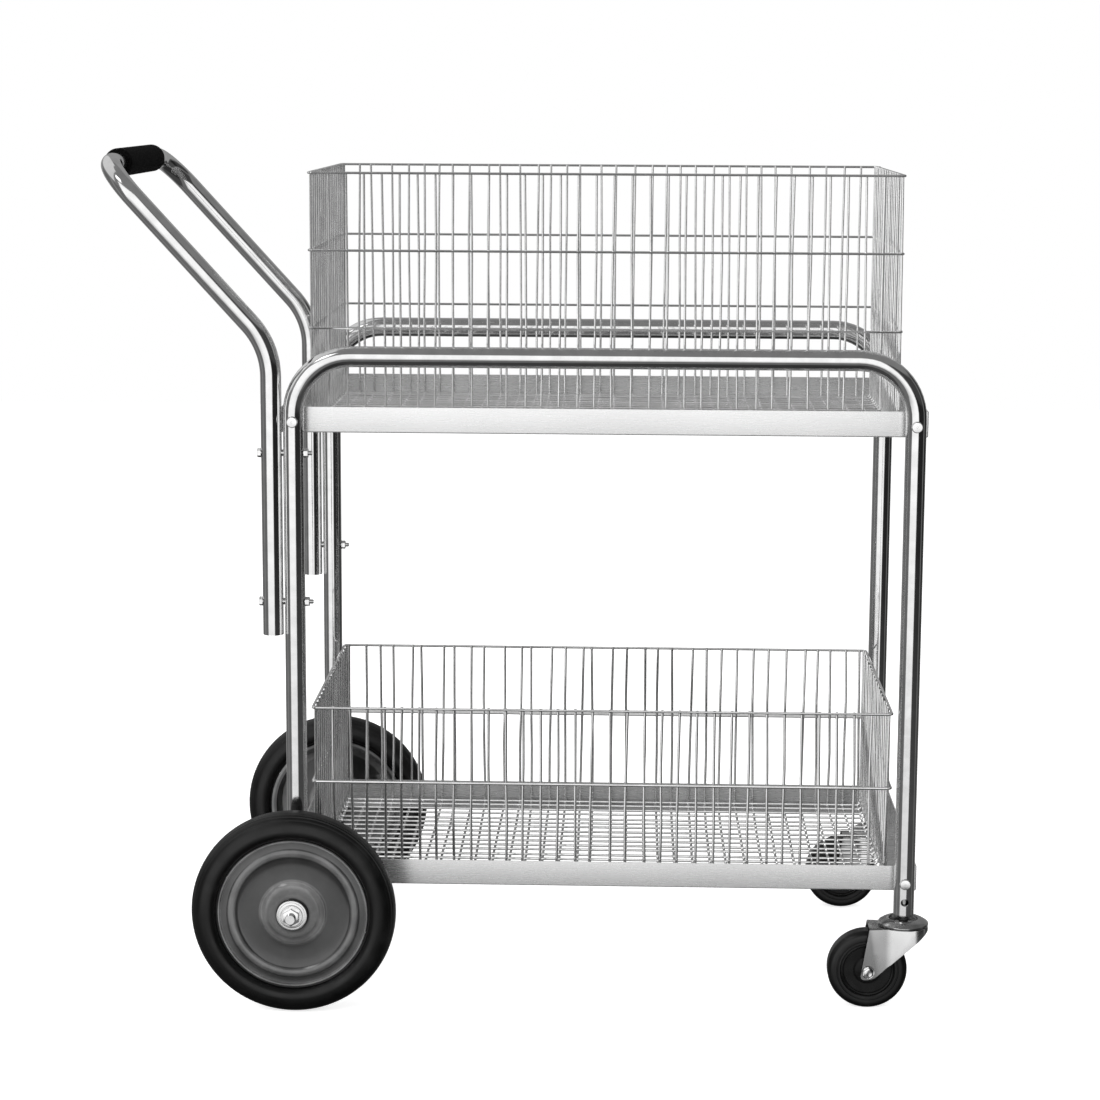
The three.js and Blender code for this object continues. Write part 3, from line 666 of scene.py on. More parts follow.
# %% Side frames
BASE_X = middle("upper_tray").x
LEG_X = 377 * MM
SIDE_Y = 203 * MM
TUBE_RADIUS = 12.7 * MM
TUBE_WALL = 1.6 * MM
TUBE_SIDES = 40
RAIL_HEIGHT = 808 * MM
FRAME_BEND = 70 * MM
BEND_STEPS = 14
BORE_DEPTH = 60 * MM
REAR_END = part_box("side_frame_right")[0].z
RACE_HEIGHT = 15.1 * MM
FRONT_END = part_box("caster_fork_right")[1].z + RACE_HEIGHT
PEG_HOLE_RADIUS = 4.9 * MM
PEG_HOLE_HEIGHT = 136.5 * MM
rail_run = 2 * (LEG_X - FRAME_BEND)


def drill(thing, centre, axis, radius, reach):
    """Cuts a round hole through a piece, with a boolean that is applied at once."""
    cutter_mesh = bpy.data.meshes.new("Drill")
    bit = bmesh.new()
    bmesh.ops.create_cone(
        bit, cap_ends=True, segments=28, radius1=radius, radius2=radius, depth=reach,
        matrix=placed(centre, axis),
    )
    bit.to_mesh(cutter_mesh)
    bit.free()
    cutter = bpy.data.objects.new("Drill", cutter_mesh)
    bpy.context.scene.collection.objects.link(cutter)
    cut = thing.modifiers.new("Hole", "BOOLEAN")
    cut.operation = "DIFFERENCE"
    cut.object = cutter
    cut.solver = "EXACT"
    apply_modifiers(thing)
    bpy.data.objects.remove(cutter)


def apply_modifiers(thing):
    """Replaces a piece's mesh with what its modifiers make of it."""
    bpy.context.view_layer.update()
    made = bpy.data.meshes.new_from_object(thing.evaluated_get(bpy.context.evaluated_depsgraph_get()))
    thing.modifiers.clear()
    thing.data = made
    made.set_sharp_from_angle(angle=SHARP_ANGLE)


for side, sign in SIDES.items():
    rear_foot = Vector((BASE_X - LEG_X, sign * SIDE_Y, REAR_END))
    front_foot = Vector((BASE_X + LEG_X, sign * SIDE_Y, FRONT_END))
    tube = Bender(rear_foot, AXIS_Z, TUBE_RADIUS, TUBE_SIDES)
    tube.feed(RAIL_HEIGHT - FRAME_BEND - REAR_END)
    tube.bend(AXIS_X, FRAME_BEND, math.pi / 2, BEND_STEPS)
    tube.feed(rail_run)
    tube.bend(-AXIS_Z, FRAME_BEND, math.pi / 2, BEND_STEPS)
    tube.feed(RAIL_HEIGHT - FRAME_BEND - FRONT_END)
    print("front foot off by", round((tube.at - front_foot).length * 1000, 4), "mm")
    tube.open_end(tube.first, rear_foot, -AXIS_Z, TUBE_WALL, BORE_DEPTH)
    tube.open_end(tube.ring, front_foot, -AXIS_Z, TUBE_WALL, BORE_DEPTH)
    frame_piece = piece(f"Side_frame_{side}", tube.bm, chrome, "root", "chrome_tube", f"side_frame_{side}")
    peg = Vector((front_foot.x, front_foot.y, PEG_HOLE_HEIGHT))
    drill(frame_piece, peg, AXIS_Y, PEG_HOLE_RADIUS, 4 * TUBE_RADIUS)

# %% [markdown]
# ## Push handle and grip
# The handle is one tube again: up behind the leg, back at the knee, across, and down the same way. The two
# knees and the two corners are arcs, and the straight runs between them are what is left of the sides of
# the bent line once the arcs have taken their share. The foam grip is a turned sleeve with rounded ends.

# %% Push handle
HANDLE_X = BASE_X - LEG_X - 2 * TUBE_RADIUS - 1.6 * MM
HANDLE_END = 465 * MM
KNEE_HEIGHT = 820 * MM
KNEE_RADIUS = 95 * MM
ARM_REACH, ARM_RISE = 198 * MM, 217 * MM
CORNER_RADIUS = 55 * MM
lean = math.atan2(ARM_REACH, ARM_RISE)
knee_share = KNEE_RADIUS * math.tan(lean / 2)
arm_run = math.hypot(ARM_REACH, ARM_RISE) - knee_share - CORNER_RADIUS
upright_run = KNEE_HEIGHT - HANDLE_END - knee_share

start = Vector((HANDLE_X, -SIDE_Y, HANDLE_END))
tube = Bender(start, AXIS_Z, TUBE_RADIUS, TUBE_SIDES)
tube.feed(upright_run)
tube.bend(-AXIS_X, KNEE_RADIUS, lean, BEND_STEPS)
tube.feed(arm_run)
up_the_arm = tube.heading.copy()
tube.bend(AXIS_Y, CORNER_RADIUS, math.pi / 2, BEND_STEPS)
tube.feed(2 * (SIDE_Y - CORNER_RADIUS))
tube.bend(-up_the_arm, CORNER_RADIUS, math.pi / 2, BEND_STEPS)
tube.feed(arm_run)
tube.bend(-AXIS_Z, KNEE_RADIUS, lean, BEND_STEPS)
tube.feed(upright_run)
print("handle ends at", [round(value, 4) for value in tube.at])
tube.open_end(tube.first, start, -AXIS_Z, TUBE_WALL, BORE_DEPTH)
tube.open_end(tube.ring, tube.at, -AXIS_Z, TUBE_WALL, BORE_DEPTH)
piece("Push_handle", tube.bm, chrome, "root", "chrome_tube", "push_handle")

# %% Foam grip
GRIP_BORE, GRIP_OUTER, GRIP_ROUNDING = 12.75, 17.6, 4.4
half_grip = 116 - GRIP_ROUNDING
edge = GRIP_OUTER - GRIP_ROUNDING
grip_profile = [
    (GRIP_BORE, -half_grip - GRIP_ROUNDING),
    *arc(edge, -half_grip, GRIP_ROUNDING, -90, 0, 8),
    *[(GRIP_OUTER, -half_grip + 2 * half_grip * i / 24) for i in range(1, 24)],
    *arc(edge, half_grip, GRIP_ROUNDING, 0, 90, 8),
    (GRIP_BORE, half_grip + GRIP_ROUNDING),
    (GRIP_BORE, -half_grip - GRIP_ROUNDING),
]
grip_centre = middle("foam_grip")
piece("Foam_grip", turned(grip_profile, grip_centre, AXIS_Y, 56), foam, "root", "grip_foam", "foam_grip")

# %% [markdown]
# ## Trays
# A tray is folded from sheet: upright aprons and a flange folded in at the bottom, open in the middle. The
# mesh follows the fold. A rectangle is inset by the flange's width and its middle is taken out, its outer
# edges are extruded up, the folds are bevelled round, and the sheet gets its thickness last, inwards.

# %% Sheet helpers
SHEET = 1.5 * MM
FLANGE = 35 * MM
FOLD = 1.6 * MM


def thicken(thing, thickness, inner_finish):
    """Gives an open sheet its thickness on the inside, with a finish of its own there."""
    thing.data.materials.append(inner_finish)
    wall = thing.modifiers.new("Thickness", "SOLIDIFY")
    wall.material_offset = 1
    wall.thickness = thickness
    wall.offset = -1
    wall.use_even_offset = True
    apply_modifiers(thing)


def face_away(bm, inside):
    """Turns an open sheet so that its faces look away from a point inside it."""
    turn_outwards(bm)
    bm.normal_update()
    away = sum(face.calc_area() * face.normal.dot(face.calc_center_median() - inside) for face in bm.faces)
    if away < 0:
        bmesh.ops.reverse_faces(bm, faces=bm.faces)


def sheet_piece(name, bm, inside, thickness, finishes, body, slot, *solids):
    """An open sheet as a piece with its thickness, and a finish for each side."""
    face_away(bm, inside)
    thing = dressed(name, bm, finishes[0], body, slot, *solids)
    thicken(thing, thickness, finishes[1])
    return thing


# %% Trays
for tier in ("upper", "lower"):
    low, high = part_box(f"{tier}_tray")
    centre = (low + high) / 2
    pan = bmesh.new()
    made = bmesh.ops.create_grid(
        pan, x_segments=1, y_segments=1, size=0.5, matrix=Matrix.Translation((centre.x, centre.y, low.z))
    )
    stretch = (high.x - low.x, high.y - low.y, 1)
    around = Matrix.Translation((-centre.x, -centre.y, -low.z))
    bmesh.ops.scale(pan, verts=made["verts"], vec=stretch, space=around)
    bmesh.ops.inset_region(
        pan, faces=list(pan.faces), thickness=FLANGE, use_boundary=True, use_even_offset=True
    )
    opening = max(pan.faces, key=bmesh.types.BMFace.calc_area)
    bmesh.ops.delete(pan, geom=[opening], context="FACES_ONLY")
    folds = [
        edge for edge in pan.edges
        if edge.is_boundary and max(abs(vert.co.y) for vert in edge.verts) > high.y - WELD
    ]
    verts, _ = extruded(pan, list(folds))
    bmesh.ops.translate(pan, verts=verts, vec=AXIS_Z * (high.z - low.z))
    folds += [
        edge for edge in pan.edges
        if abs(edge.verts[0].co.z - edge.verts[1].co.z) > (high.z - low.z) / 2
    ]
    bmesh.ops.bevel(pan, geom=folds, offset=FOLD, segments=5, profile=0.5, affect="EDGES", material=-1)
    sheet_piece(
        f"{tier.capitalize()}_tray", pan, Vector((centre.x, 0, high.z)), SHEET,
        (sheet_finish, painted_shade_inside_finish), "root", "tray_sheet", f"{tier}_tray",
    )

# %% [markdown]
# ## Wire baskets
# Each basket is bent from long wires. One set runs down the long side, under the floor and up the other side,
# and a second set does the same between the ends, one wire higher. A rim and hoops of thicker, brighter wire
# are welded round the outside. Real wires lean a little, no two alike, which is much of what makes a basket
# look real. The lean is small and comes from a seeded draw, so every run gives the same basket.

# %% Basket wires
WIRE_RADII = {"upper": 1.4 * MM, "lower": 1.7 * MM}
RIM_RADII = {"upper": 1.5 * MM, "lower": 1.7 * MM}
HOOP_RADII = {"upper": 1.5 * MM, "lower": 1.9 * MM}
WIRE_SIDES = 8
WIRE_BEND = 5 * MM
HOOP_BEND = 5 * MM
LEAN = 1.5 * MM
LONG_WIRES, END_WIRES = 34, 18
draw = random.Random(11)


def sway():
    """One small random lean."""
    return draw.uniform(-LEAN, LEAN)


def wander(bender, length, along):
    """A run of wire in three stretches, each with a lean of its own."""
    for _ in range(3):
        bender.feed(length / 3, along * sway())


def bent_wire(bm, radius, top, across, span, drop, along):
    """One wire: down a wall, across the floor and up the other wall."""
    bender = Bender(top, -AXIS_Z, radius, WIRE_SIDES, bm)
    wander(bender, drop - WIRE_BEND, along)
    bender.bend(across, WIRE_BEND, math.pi / 2, 4)
    wander(bender, span - 2 * WIRE_BEND, along)
    bender.bend(AXIS_Z, WIRE_BEND, math.pi / 2, 4)
    wander(bender, drop - WIRE_BEND, along)
    bender.fill_ends()


def hoop(bm, centre, half_x, half_y, radius):
    """A closed rectangle of wire with rounded corners."""
    start = Vector((centre.x, centre.y - half_y, centre.z))
    bender = Bender(start, AXIS_X, radius, WIRE_SIDES, bm)
    bender.feed(half_x - HOOP_BEND)
    turns = ((AXIS_Y, 2 * half_y - 2 * HOOP_BEND), (-AXIS_X, 2 * half_x - 2 * HOOP_BEND))
    for towards, length in (*turns, (-AXIS_Y, 2 * half_y - 2 * HOOP_BEND), (AXIS_X, half_x - HOOP_BEND)):
        bender.bend(towards, HOOP_BEND, math.pi / 2, 5)
        bender.feed(length)


# %% The two baskets
for tier, hoop_count in (("upper", 2), ("lower", 1)):
    label = tier.capitalize()
    wire_radius, rim_radius, hoop_radius = WIRE_RADII[tier], RIM_RADII[tier], HOOP_RADII[tier]
    wire_finish = WIRE_FINISHES[tier]
    wall_low, wall_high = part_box(f"{tier}_basket_right_wall")
    end_low, end_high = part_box(f"{tier}_basket_rear_wall")
    cross_layer = middle(f"{tier}_basket_floor_cross_wires").z
    long_layer = middle(f"{tier}_basket_floor_long_wires").z
    wall_y = abs(middle(f"{tier}_basket_right_wall").y)
    end_x = middle(f"{tier}_basket_front_wall").x - BASE_X
    top_z = wall_high.z - 0.4 * MM

    wires = bmesh.new()
    first_x, last_x = wall_low.x + wire_radius, wall_high.x - wire_radius
    for i in range(LONG_WIRES):
        x = first_x + (last_x - first_x) * i / (LONG_WIRES - 1)
        top = Vector((x, -wall_y, top_z))
        bent_wire(wires, wire_radius, top, AXIS_Y, 2 * wall_y, top_z - cross_layer, AXIS_X)
    piece(
        f"{label}_basket_cross_wires", wires, wire_finish, "root", "basket_wire",
        f"{tier}_basket_right_wall", f"{tier}_basket_left_wall", f"{tier}_basket_floor_cross_wires",
    )

    wires = bmesh.new()
    first_y, last_y = end_low.y + wire_radius, end_high.y - wire_radius
    for i in range(END_WIRES):
        y = first_y + (last_y - first_y) * i / (END_WIRES - 1)
        top = Vector((BASE_X - end_x, y, top_z))
        bent_wire(wires, wire_radius, top, AXIS_X, 2 * end_x, top_z - long_layer, AXIS_Y)
    piece(
        f"{label}_basket_long_wires", wires, wire_finish, "root", "basket_wire",
        f"{tier}_basket_rear_wall", f"{tier}_basket_front_wall", f"{tier}_basket_floor_long_wires",
    )

    reach = wire_radius + rim_radius - 0.1 * MM
    rim = bmesh.new()
    hoop(rim, Vector((BASE_X, 0, wall_high.z - rim_radius)), end_x + reach, wall_y + reach, rim_radius)
    piece(f"{label}_basket_rim", rim, WIRE_FINISHES["lower"], "root", "basket_wire")
    reach = wire_radius + hoop_radius - 0.1 * MM
    for i in range(1, hoop_count + 1):
        band = bmesh.new()
        height = middle(f"{tier}_basket_hoop_{i}").z
        hoop(band, Vector((BASE_X, 0, height)), end_x + reach, wall_y + reach, hoop_radius)
        piece(
            f"{label}_basket_hoop_{i}", band, WIRE_FINISHES["lower"], "root", "basket_wire",
            f"{tier}_basket_hoop_{i}",
        )
print("basket wires", 2 * (LONG_WIRES + END_WIRES))

# %% [markdown]
# ## Bolts
# The trays hang on round-headed bolts through the legs, and the handle on long hexagon bolts through both
# tubes. Each is made where its solid is, so that it lands on its seat.

# %% Bolts
HEAD_PROFILE = [
    (0, 2.5), (0.9, 2.5), (1.1, 3.0), (3.2, 2.95), (5.9, 2.7),
    (6.15, 1.9), (6.7, 1.3), (7.0, 0.4), (7.0, 0), (0, 0),
]
NUT_ACROSS, NUT_HEIGHT, LOCK_NUT_HEIGHT = 10, 4.6, 5.4
BOLT_RADIUS, SHANK_RUN = 3.0, 58
SHORT_STUB, LONG_STUB = 1.6, 4.6
TRAY_INSIDE = 188.5 * MM


def stub(bm, seat, axis, radius, length, pitch=1.0):
    """A threaded end that stands out of its nut."""
    turned(thread(radius, -1, length, pitch, 0.45), seat, axis, 20, bm)


for tier in ("upper", "lower"):
    for side, sign in SIDES.items():
        for end in ("rear", "front"):
            node = f"{tier}_tray_bolt_{end}_{side}"
            outward, mid = AXIS_Y * sign, middle(node)
            seat = Vector((mid.x, sign * (SIDE_Y + TUBE_RADIUS), mid.z))
            bolt = turned(HEAD_PROFILE, seat, outward, 40)
            nut_seat = Vector((mid.x, sign * TRAY_INSIDE, mid.z))
            hexagon(bolt, nut_seat, -outward, NUT_ACROSS, NUT_HEIGHT, 0.5)
            stub(bolt, nut_seat - outward * (NUT_HEIGHT * MM), -outward, BOLT_RADIUS, SHORT_STUB)
            piece(node.capitalize(), bolt, bolt_finish, "root", "zinc_fastener", node)

# %% Handle bolts and their spacers
for side in SIDES:
    for i in (1, 2):
        node = f"handle_bolt_{side}_{i}"
        mid = middle(node)
        head_seat = Vector((HANDLE_X - TUBE_RADIUS, mid.y, mid.z))
        nut_seat = Vector((BASE_X - LEG_X + TUBE_RADIUS, mid.y, mid.z))
        bolt = bmesh.new()
        hexagon(bolt, head_seat, -AXIS_X, NUT_ACROSS, NUT_HEIGHT, 0.6)
        hexagon(bolt, nut_seat, AXIS_X, NUT_ACROSS, LOCK_NUT_HEIGHT, 0.6)
        stub(bolt, nut_seat + AXIS_X * (LOCK_NUT_HEIGHT * MM), AXIS_X, BOLT_RADIUS, LONG_STUB)
        shank = [(0, 0), (BOLT_RADIUS, 0), (BOLT_RADIUS, SHANK_RUN), (0, SHANK_RUN)]
        turned(shank, head_seat - AXIS_X * MM, AXIS_X, 20, bolt)
        piece(f"Handle_bolt_{side}_{i}", bolt, bolt_finish, "root", "zinc_fastener", node)
        low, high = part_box(f"handle_spacer_{side}_{i}")
        gap = (high.x - low.x) / MM
        ring_profile = [(3.2, 0), (4.0, 0), (4.3, 0.2), (4.3, gap - 0.2), (4.0, gap), (3.2, gap), (3.2, 0)]
        ring = turned(ring_profile, Vector((low.x, mid.y, mid.z)), AXIS_X, 24)
        spacer = f"handle_spacer_{side}_{i}"
        piece(spacer.capitalize(), ring, bolt_finish, "root", "zinc_fastener", spacer)

# %% [markdown]
# ## Rear wheels
# A ten inch wheel: a pressed steel hub under a solid rubber tyre. The tyre's section is close to a circle, with
# fine grooves round its tread, and it dives to the rim in a dark gap. The hub has a rolled lip, a groove, a
# raised ring and a wide dish that rises again to the boss. Each is one profile, spun round the axle.

# %% Profiles of tyre and hub
WHEEL_RADIUS = middle("rear_tyre_right").z / MM
TYRE_SWELL, TYRE_HALF = 21.5, 22.0
HUB_RADIUS, TYRE_SEAT = 92.6, 92.8
HUB_BORE, HUB_FACE = 6.7, 19.0
WHEEL_STEPS = 112
GROOVES = [3.4 * i for i in range(-5, 6)]
GROOVE_HALF, GROOVE_DEPTH = 0.6, 1.1


def tyre_height(along):
    """The tyre's radius at a distance from its middle plane: an oval, flattened a little on the tread."""
    share = min(abs(along) / TYRE_HALF, 1.0)
    return WHEEL_RADIUS - TYRE_SWELL * (1 - (1 - share ** 2.6) ** 0.55)


def tyre_profile():
    """Bead, wall, grooved tread, wall, bead, and back along the seat."""
    tread = []
    for groove in GROOVES:
        for offset, depth in ((-1.6, 0), (-1, 0), (-0.6, 1), (0.6, 1), (1, 0), (1.6, 0)):
            along = groove + offset * GROOVE_HALF
            tread.append((tyre_height(along) - depth * GROOVE_DEPTH, along))
    shoulder = [(tyre_height(along), along) for along in (18.7, 19.7, 20.5, 21.3, 21.8)]
    wall = [
        (106.0, 22.0), (103.0, 21.8), (100.6, 21.2), (98.4, 20.0), (96.4, 17.8), (95.2, 14.6), (94.9, 11.6),
        (TYRE_SEAT, 11.2),
    ]
    half = shoulder + wall
    return [*flipped(half), *tread, *half, (TYRE_SEAT, -11.2)]


def hub_profile():
    """Rim, lip, groove, raised ring, dish, cone and boss on the outer face, and the plain inner face."""
    outer = [
        (HUB_BORE, HUB_FACE), (17.2, HUB_FACE), (18.0, 18.3), (18.4, 15.4), *arc(21.4, 17.0, 3.0, 200, 270, 4),
        (26.0, 13.9), *arc(29.0, -0.1, 14.0, 88, 45, 8), *arc(42.4, 13.0, 4.3, 228, 270, 4),
        (58.0, 8.6), (66.0, 8.8), (69.4, 9.4), (71.2, 10.4), (72.6, 11.7), (73.6, 12.2), (76.6, 12.5),
        (79.6, 12.1), (80.6, 11.5), (81.8, 10.7), (83.2, 10.4), (89.6, 10.5), (90.2, 11.2),
        *arc(HUB_RADIUS - 1.2, 13.2, 1.2, 170, 0, 8),
    ]
    inner = [
        (HUB_RADIUS, -15.0), (86.0, -15.0), (80.0, 4.6), (72.0, 5.6), (20.0, 5.6), (14.0, 4.0), (14.0, -31.0),
        (HUB_BORE, -31.0),
    ]
    return [*outer, *inner, (HUB_BORE, HUB_FACE)]


# %% Wheels with their washers and nuts
WASHER = [
    (6.8, 0.2), (18.4, 0.2), (18.9, 0.7), (18.9, 1.8), (18.4, 2.3), (17.3, 2.4), (16.9, 1.5),
    (16.2, 1.5), (15.8, 2.4), (15.0, 2.5), (6.8, 2.5), (6.8, 0.2),
]
SMALL_WASHER = [(6.8, 2.5), (13.0, 2.5), (13.5, 2.9), (13.0, 3.4), (6.8, 3.4), (6.8, 2.5)]
AXLE_NUT_ACROSS, AXLE_NUT_HEIGHT = 19, 7.8

for side, sign in SIDES.items():
    centre = middle(f"rear_tyre_{side}")
    outward = AXIS_Y * sign
    body = f"rear_wheel_{side}"
    tyre = turned(tyre_profile(), centre, outward, WHEEL_STEPS)
    piece(f"Rear_tyre_{side}", tyre, rubber, body, "tyre_rubber", f"rear_tyre_{side}")
    hub = turned(hub_profile(), centre, outward, WHEEL_STEPS)
    piece(f"Rear_hub_{side}", hub, enamel, body, "hub_paint", f"rear_hub_{side}")

    face = centre + outward * (HUB_FACE * MM)
    nut = turned(WASHER, face, outward, 56)
    turned(SMALL_WASHER, face, outward, 40, nut)
    hexagon(nut, face + outward * (3.4 * MM), outward, AXLE_NUT_ACROSS, AXLE_NUT_HEIGHT, 1.2)
    piece(f"Axle_nut_{side}", nut, bolt_finish, "root", "zinc_fastener", f"axle_nut_{side}")

# %% Rear axle
AXLE_RADIUS, THREAD_RUN = 6.35, 16
axle_low, axle_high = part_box("rear_axle")
axle_mid = (axle_low + axle_high) / 2
plain = (axle_high.y - axle_low.y) / 2 / MM - THREAD_RUN
axle = turned([(0, -plain), (AXLE_RADIUS, -plain), (AXLE_RADIUS, plain), (0, plain)], axle_mid, AXIS_Y, 32)
for sign in (-1, 1):
    end_at = axle_mid + AXIS_Y * (sign * plain * MM)
    turned(thread(AXLE_RADIUS, -0.5, THREAD_RUN, 1.5, 0.6), end_at, AXIS_Y * sign, 32, axle)
piece("Rear_axle", axle, bolt_finish, "root", "zinc_fastener", "rear_axle")

# %% [markdown]
# ## Casters
# A swivel caster hangs on a post in the leg. Its race is two pressed cups with balls between them, so it reads
# as a dome with a recessed ring on top and a dark line round its edge. The fork is pressed from one sheet: a
# crown whose front is round, and a skirt that wraps that front and is cut on a slant down to the axle.

# %% Ball race and post
RACE_PROFILE = [
    (0, 47.7), (9.4, 47.7), (10.2, 46.9), (10.2, 37.0), (7.0, 36.4), (7.0, 26.8), (10.2, 26.2), (10.2, 15.0),
    (12.3, 15.0), (12.6, 14.7), (12.6, 14.0), (12.2, 13.7), (7.4, 13.6), (6.6, 12.8), (6.5, 5.6), (7.3, 5.0),
    (15.6, 4.8), (17.4, 5.6),
    *arc(18.9, 8.2, 1.1, 190, 75, 5), *arc(16.8, -10.6, 20.0, 80, 50, 7), *arc(29.6, 3.2, 1.4, 48, -10, 4),
    (30.9, 2.2), (30.6, 1.7), (29.2, 1.6), (29.2, 1.1), (30.4, 1.0), (30.5, 0.6), (30.0, 0.3),
    (6.3, 0.3), (6.3, -2.9), (9.0, -2.9), (8.6, -5.0), (5.0, -5.5), (0, -5.5),
]

# %% Fork
FORK_PLATE = 2.6 * MM
FORK_HALF = 19.0 * MM
FORK_BACK = -43 * MM
FORK_TIP = 31 * MM
NOSE_DROP = 5 * MM
HEEL_HALF, HEEL_ROUND = 10 * MM, 6 * MM
SKIRT_DROP = 22 * MM
SLANT_FOOT = Vector((10 * MM, 0, -7 * MM))
FOLD_ROUND = 3.0 * MM
PRESS_LINE, PRESS_STEP, PRESS_DEPTH, PRESS_SLOPE = -20 * MM, 4 * MM, 1.8 * MM, 0.14


def fork(pivot, axle, top):
    """The fork's outer skin: a U-shaped crown and its skirt, in the caster's rest place."""
    bm = bmesh.new()
    nose_x = FORK_TIP - FORK_HALF
    nose = bm.verts.new(pivot + Vector((nose_x, -FORK_HALF, 0)))
    nose.co.z = top
    centre = Vector((pivot.x + nose_x, pivot.y, top))
    bmesh.ops.spin(bm, geom=[nose], cent=centre, axis=AXIS_Z, angle=math.pi, steps=14, use_merge=False)
    bm.verts.ensure_lookup_table()
    ends = sorted((vert for vert in bm.verts if len(vert.link_edges) == 1), key=lambda vert: vert.co.y)
    backs = []
    for vert in ends:
        back = bmesh.ops.extrude_vert_indiv(bm, verts=[vert])["verts"]
        bmesh.ops.translate(bm, verts=back, vec=AXIS_X * (FORK_BACK - nose_x))
        backs += back
    outline = list(bm.edges)
    bridge = bm.edges.new(backs)
    bmesh.ops.edgeloop_fill(bm, edges=outline + [bridge])
    verts, _ = extruded(bm, outline)
    bmesh.ops.translate(bm, verts=verts, vec=-AXIS_Z * (top - axle.z + SKIRT_DROP))
    slant_top = Vector((pivot.x + FORK_TIP, pivot.y, top - NOSE_DROP))
    slant_foot = Vector((axle.x, pivot.y, axle.z)) + SLANT_FOOT
    along = (slant_foot - slant_top).normalized()
    below = Vector((-along.z, 0, along.x))
    if below.z > 0:
        below.negate()
    cut = dict(dist=WELD, clear_outer=True, clear_inner=False)
    bmesh.ops.bisect_plane(bm, geom=whole(bm), plane_co=slant_foot, plane_no=below, **cut)
    floor_cut = Vector((axle.x, pivot.y, axle.z - HEEL_HALF))
    bmesh.ops.bisect_plane(bm, geom=whole(bm), plane_co=floor_cut, plane_no=-AXIS_Z, **cut)
    back_top = Vector((pivot.x + FORK_BACK, pivot.y, top))
    heel = Vector((axle.x - HEEL_HALF, pivot.y, axle.z - HEEL_HALF))
    rear_line = (heel - back_top).normalized()
    for vert in bm.verts:
        if vert.co.x < pivot.x + FORK_BACK + WELD and vert.co.z < top - WELD:
            vert.co.x = back_top.x + rear_line.x / rear_line.z * (vert.co.z - top)
    crown = [
        edge for edge in bm.edges
        if all(abs(vert.co.z - top) < WELD for vert in edge.verts) and len(edge.link_faces) == 2
    ]
    bmesh.ops.bevel(bm, geom=crown, offset=FOLD_ROUND, segments=4, profile=0.5, affect="EDGES", material=-1)
    feet = [vert for vert in bm.verts if vert.co.z < axle.z - 0.99 * HEEL_HALF]
    bmesh.ops.bevel(bm, geom=feet, offset=HEEL_ROUND, segments=5, profile=0.5, affect="VERTICES", material=-1)
    pressed = Vector((pivot.x + PRESS_LINE, pivot.y, top))
    for line in (pressed, pressed + AXIS_X * PRESS_STEP):
        bmesh.ops.bisect_plane(bm, geom=whole(bm), plane_co=line, plane_no=AXIS_X, dist=WELD)
    for vert in bm.verts:
        behind = pressed.x - vert.co.x
        if behind > -WELD:
            vert.co.y += math.copysign(1, vert.co.y - pivot.y) * (PRESS_SLOPE * behind - PRESS_DEPTH)
    return bm


# %% Profiles of the caster wheel
CASTER_RADIUS = middle("caster_axle_right").z / MM


def caster_tyre_profile():
    """Rounded tread, flat wall with one groove, and the seat on the hub."""
    half = [
        *arc(CASTER_RADIUS - 8, 6.0, 8.0, 0, 90, 8), (38.6, 14.0), (38.0, 13.2), (37.2, 13.2), (36.6, 14.0),
        (34.4, 14.0), (33.4, 13.2),
    ]
    return [*flipped(half), *half, (33.4, -13.2)]


def caster_hub_profile():
    """Moulded hub: rim, step, web and boss."""
    half = [
        (33.2, 12.6), (31.4, 13.4), (30.0, 12.9), (29.2, 11.4),
        (17.6, 11.2), (16.0, 13.6), (15.2, 14.0), (4.3, 15.0),
    ]
    return [*flipped(half), *half, (4.3, -15.0)]


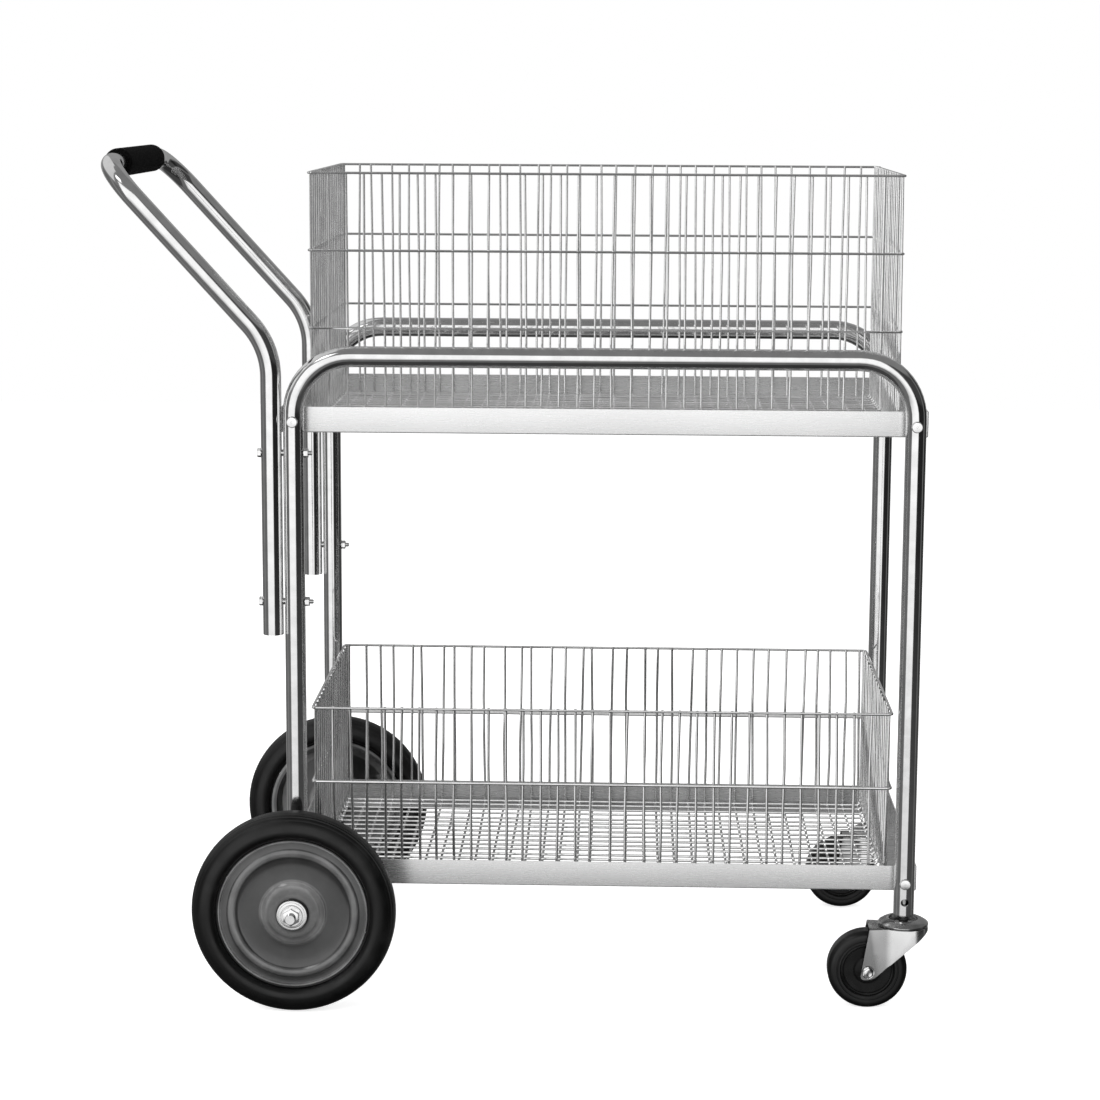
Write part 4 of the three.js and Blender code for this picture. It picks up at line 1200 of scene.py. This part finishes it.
# %% The two casters
CASTER_STEPS = 72
BOLT_SEAT = 20.5
CASTER_WASHER = [(4.2, 0), (7.6, 0), (7.9, 0.4), (7.6, 1.2), (4.2, 1.2), (4.2, 0)]
CASTER_BOLT, CASTER_NUT_ACROSS, CASTER_NUT_HEIGHT = 4.0, 12, 3.4

for side, sign in SIDES.items():
    pivot = Vector((BASE_X + LEG_X, sign * SIDE_Y, 0))
    axle_at = middle(f"caster_axle_{side}")
    wheel_body, fork_body = f"caster_wheel_{side}", f"caster_swivel_{side}"
    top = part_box(f"caster_fork_{side}")[1].z
    race = turned(RACE_PROFILE, pivot + AXIS_Z * top, AXIS_Z, 64)
    piece(f"Caster_race_{side}", race, race_finish, "root", "zinc_fastener", f"caster_stem_{side}")
    skin = fork(pivot, axle_at, top)
    sheet_piece(
        f"Caster_fork_{side}", skin, Vector((axle_at.x + 20 * MM, axle_at.y, axle_at.z)), FORK_PLATE,
        (fork_finish, fork_finish), fork_body, "tray_sheet", f"caster_fork_{side}",
    )
    shank = [(0, -BOLT_SEAT), (CASTER_BOLT, -BOLT_SEAT), (CASTER_BOLT, BOLT_SEAT), (0, BOLT_SEAT)]
    bolt = turned(shank, axle_at, AXIS_Y, 24)
    for way in (-1, 1):
        out = Vector((PRESS_SLOPE, way, 0)).normalized()
        seat = axle_at + AXIS_Y * (way * BOLT_SEAT * MM)
        turned(CASTER_WASHER, seat, out, 32, bolt)
        hexagon(bolt, seat + out * (1.2 * MM), out, CASTER_NUT_ACROSS, CASTER_NUT_HEIGHT, 0.8)
        stub(bolt, seat + out * (4.6 * MM), out, CASTER_BOLT, SHORT_STUB)
    piece(f"Caster_axle_{side}", bolt, bolt_finish, fork_body, "zinc_fastener", f"caster_axle_{side}")
    tyre = turned(caster_tyre_profile(), axle_at, AXIS_Y, CASTER_STEPS)
    piece(f"Caster_tyre_{side}", tyre, rubber, wheel_body, "tyre_rubber", f"caster_tyre_{side}")
    hub = turned(caster_hub_profile(), axle_at, AXIS_Y, CASTER_STEPS)
    piece(f"Caster_hub_{side}", hub, plastic, wheel_body, "caster_plastic", f"caster_hub_{side}")

# %% [markdown]
# ## The last update
# The dressed cart has to stay in the box of the frame. The last line brings the scene up to date.

# %% Update
bpy.context.view_layer.update()
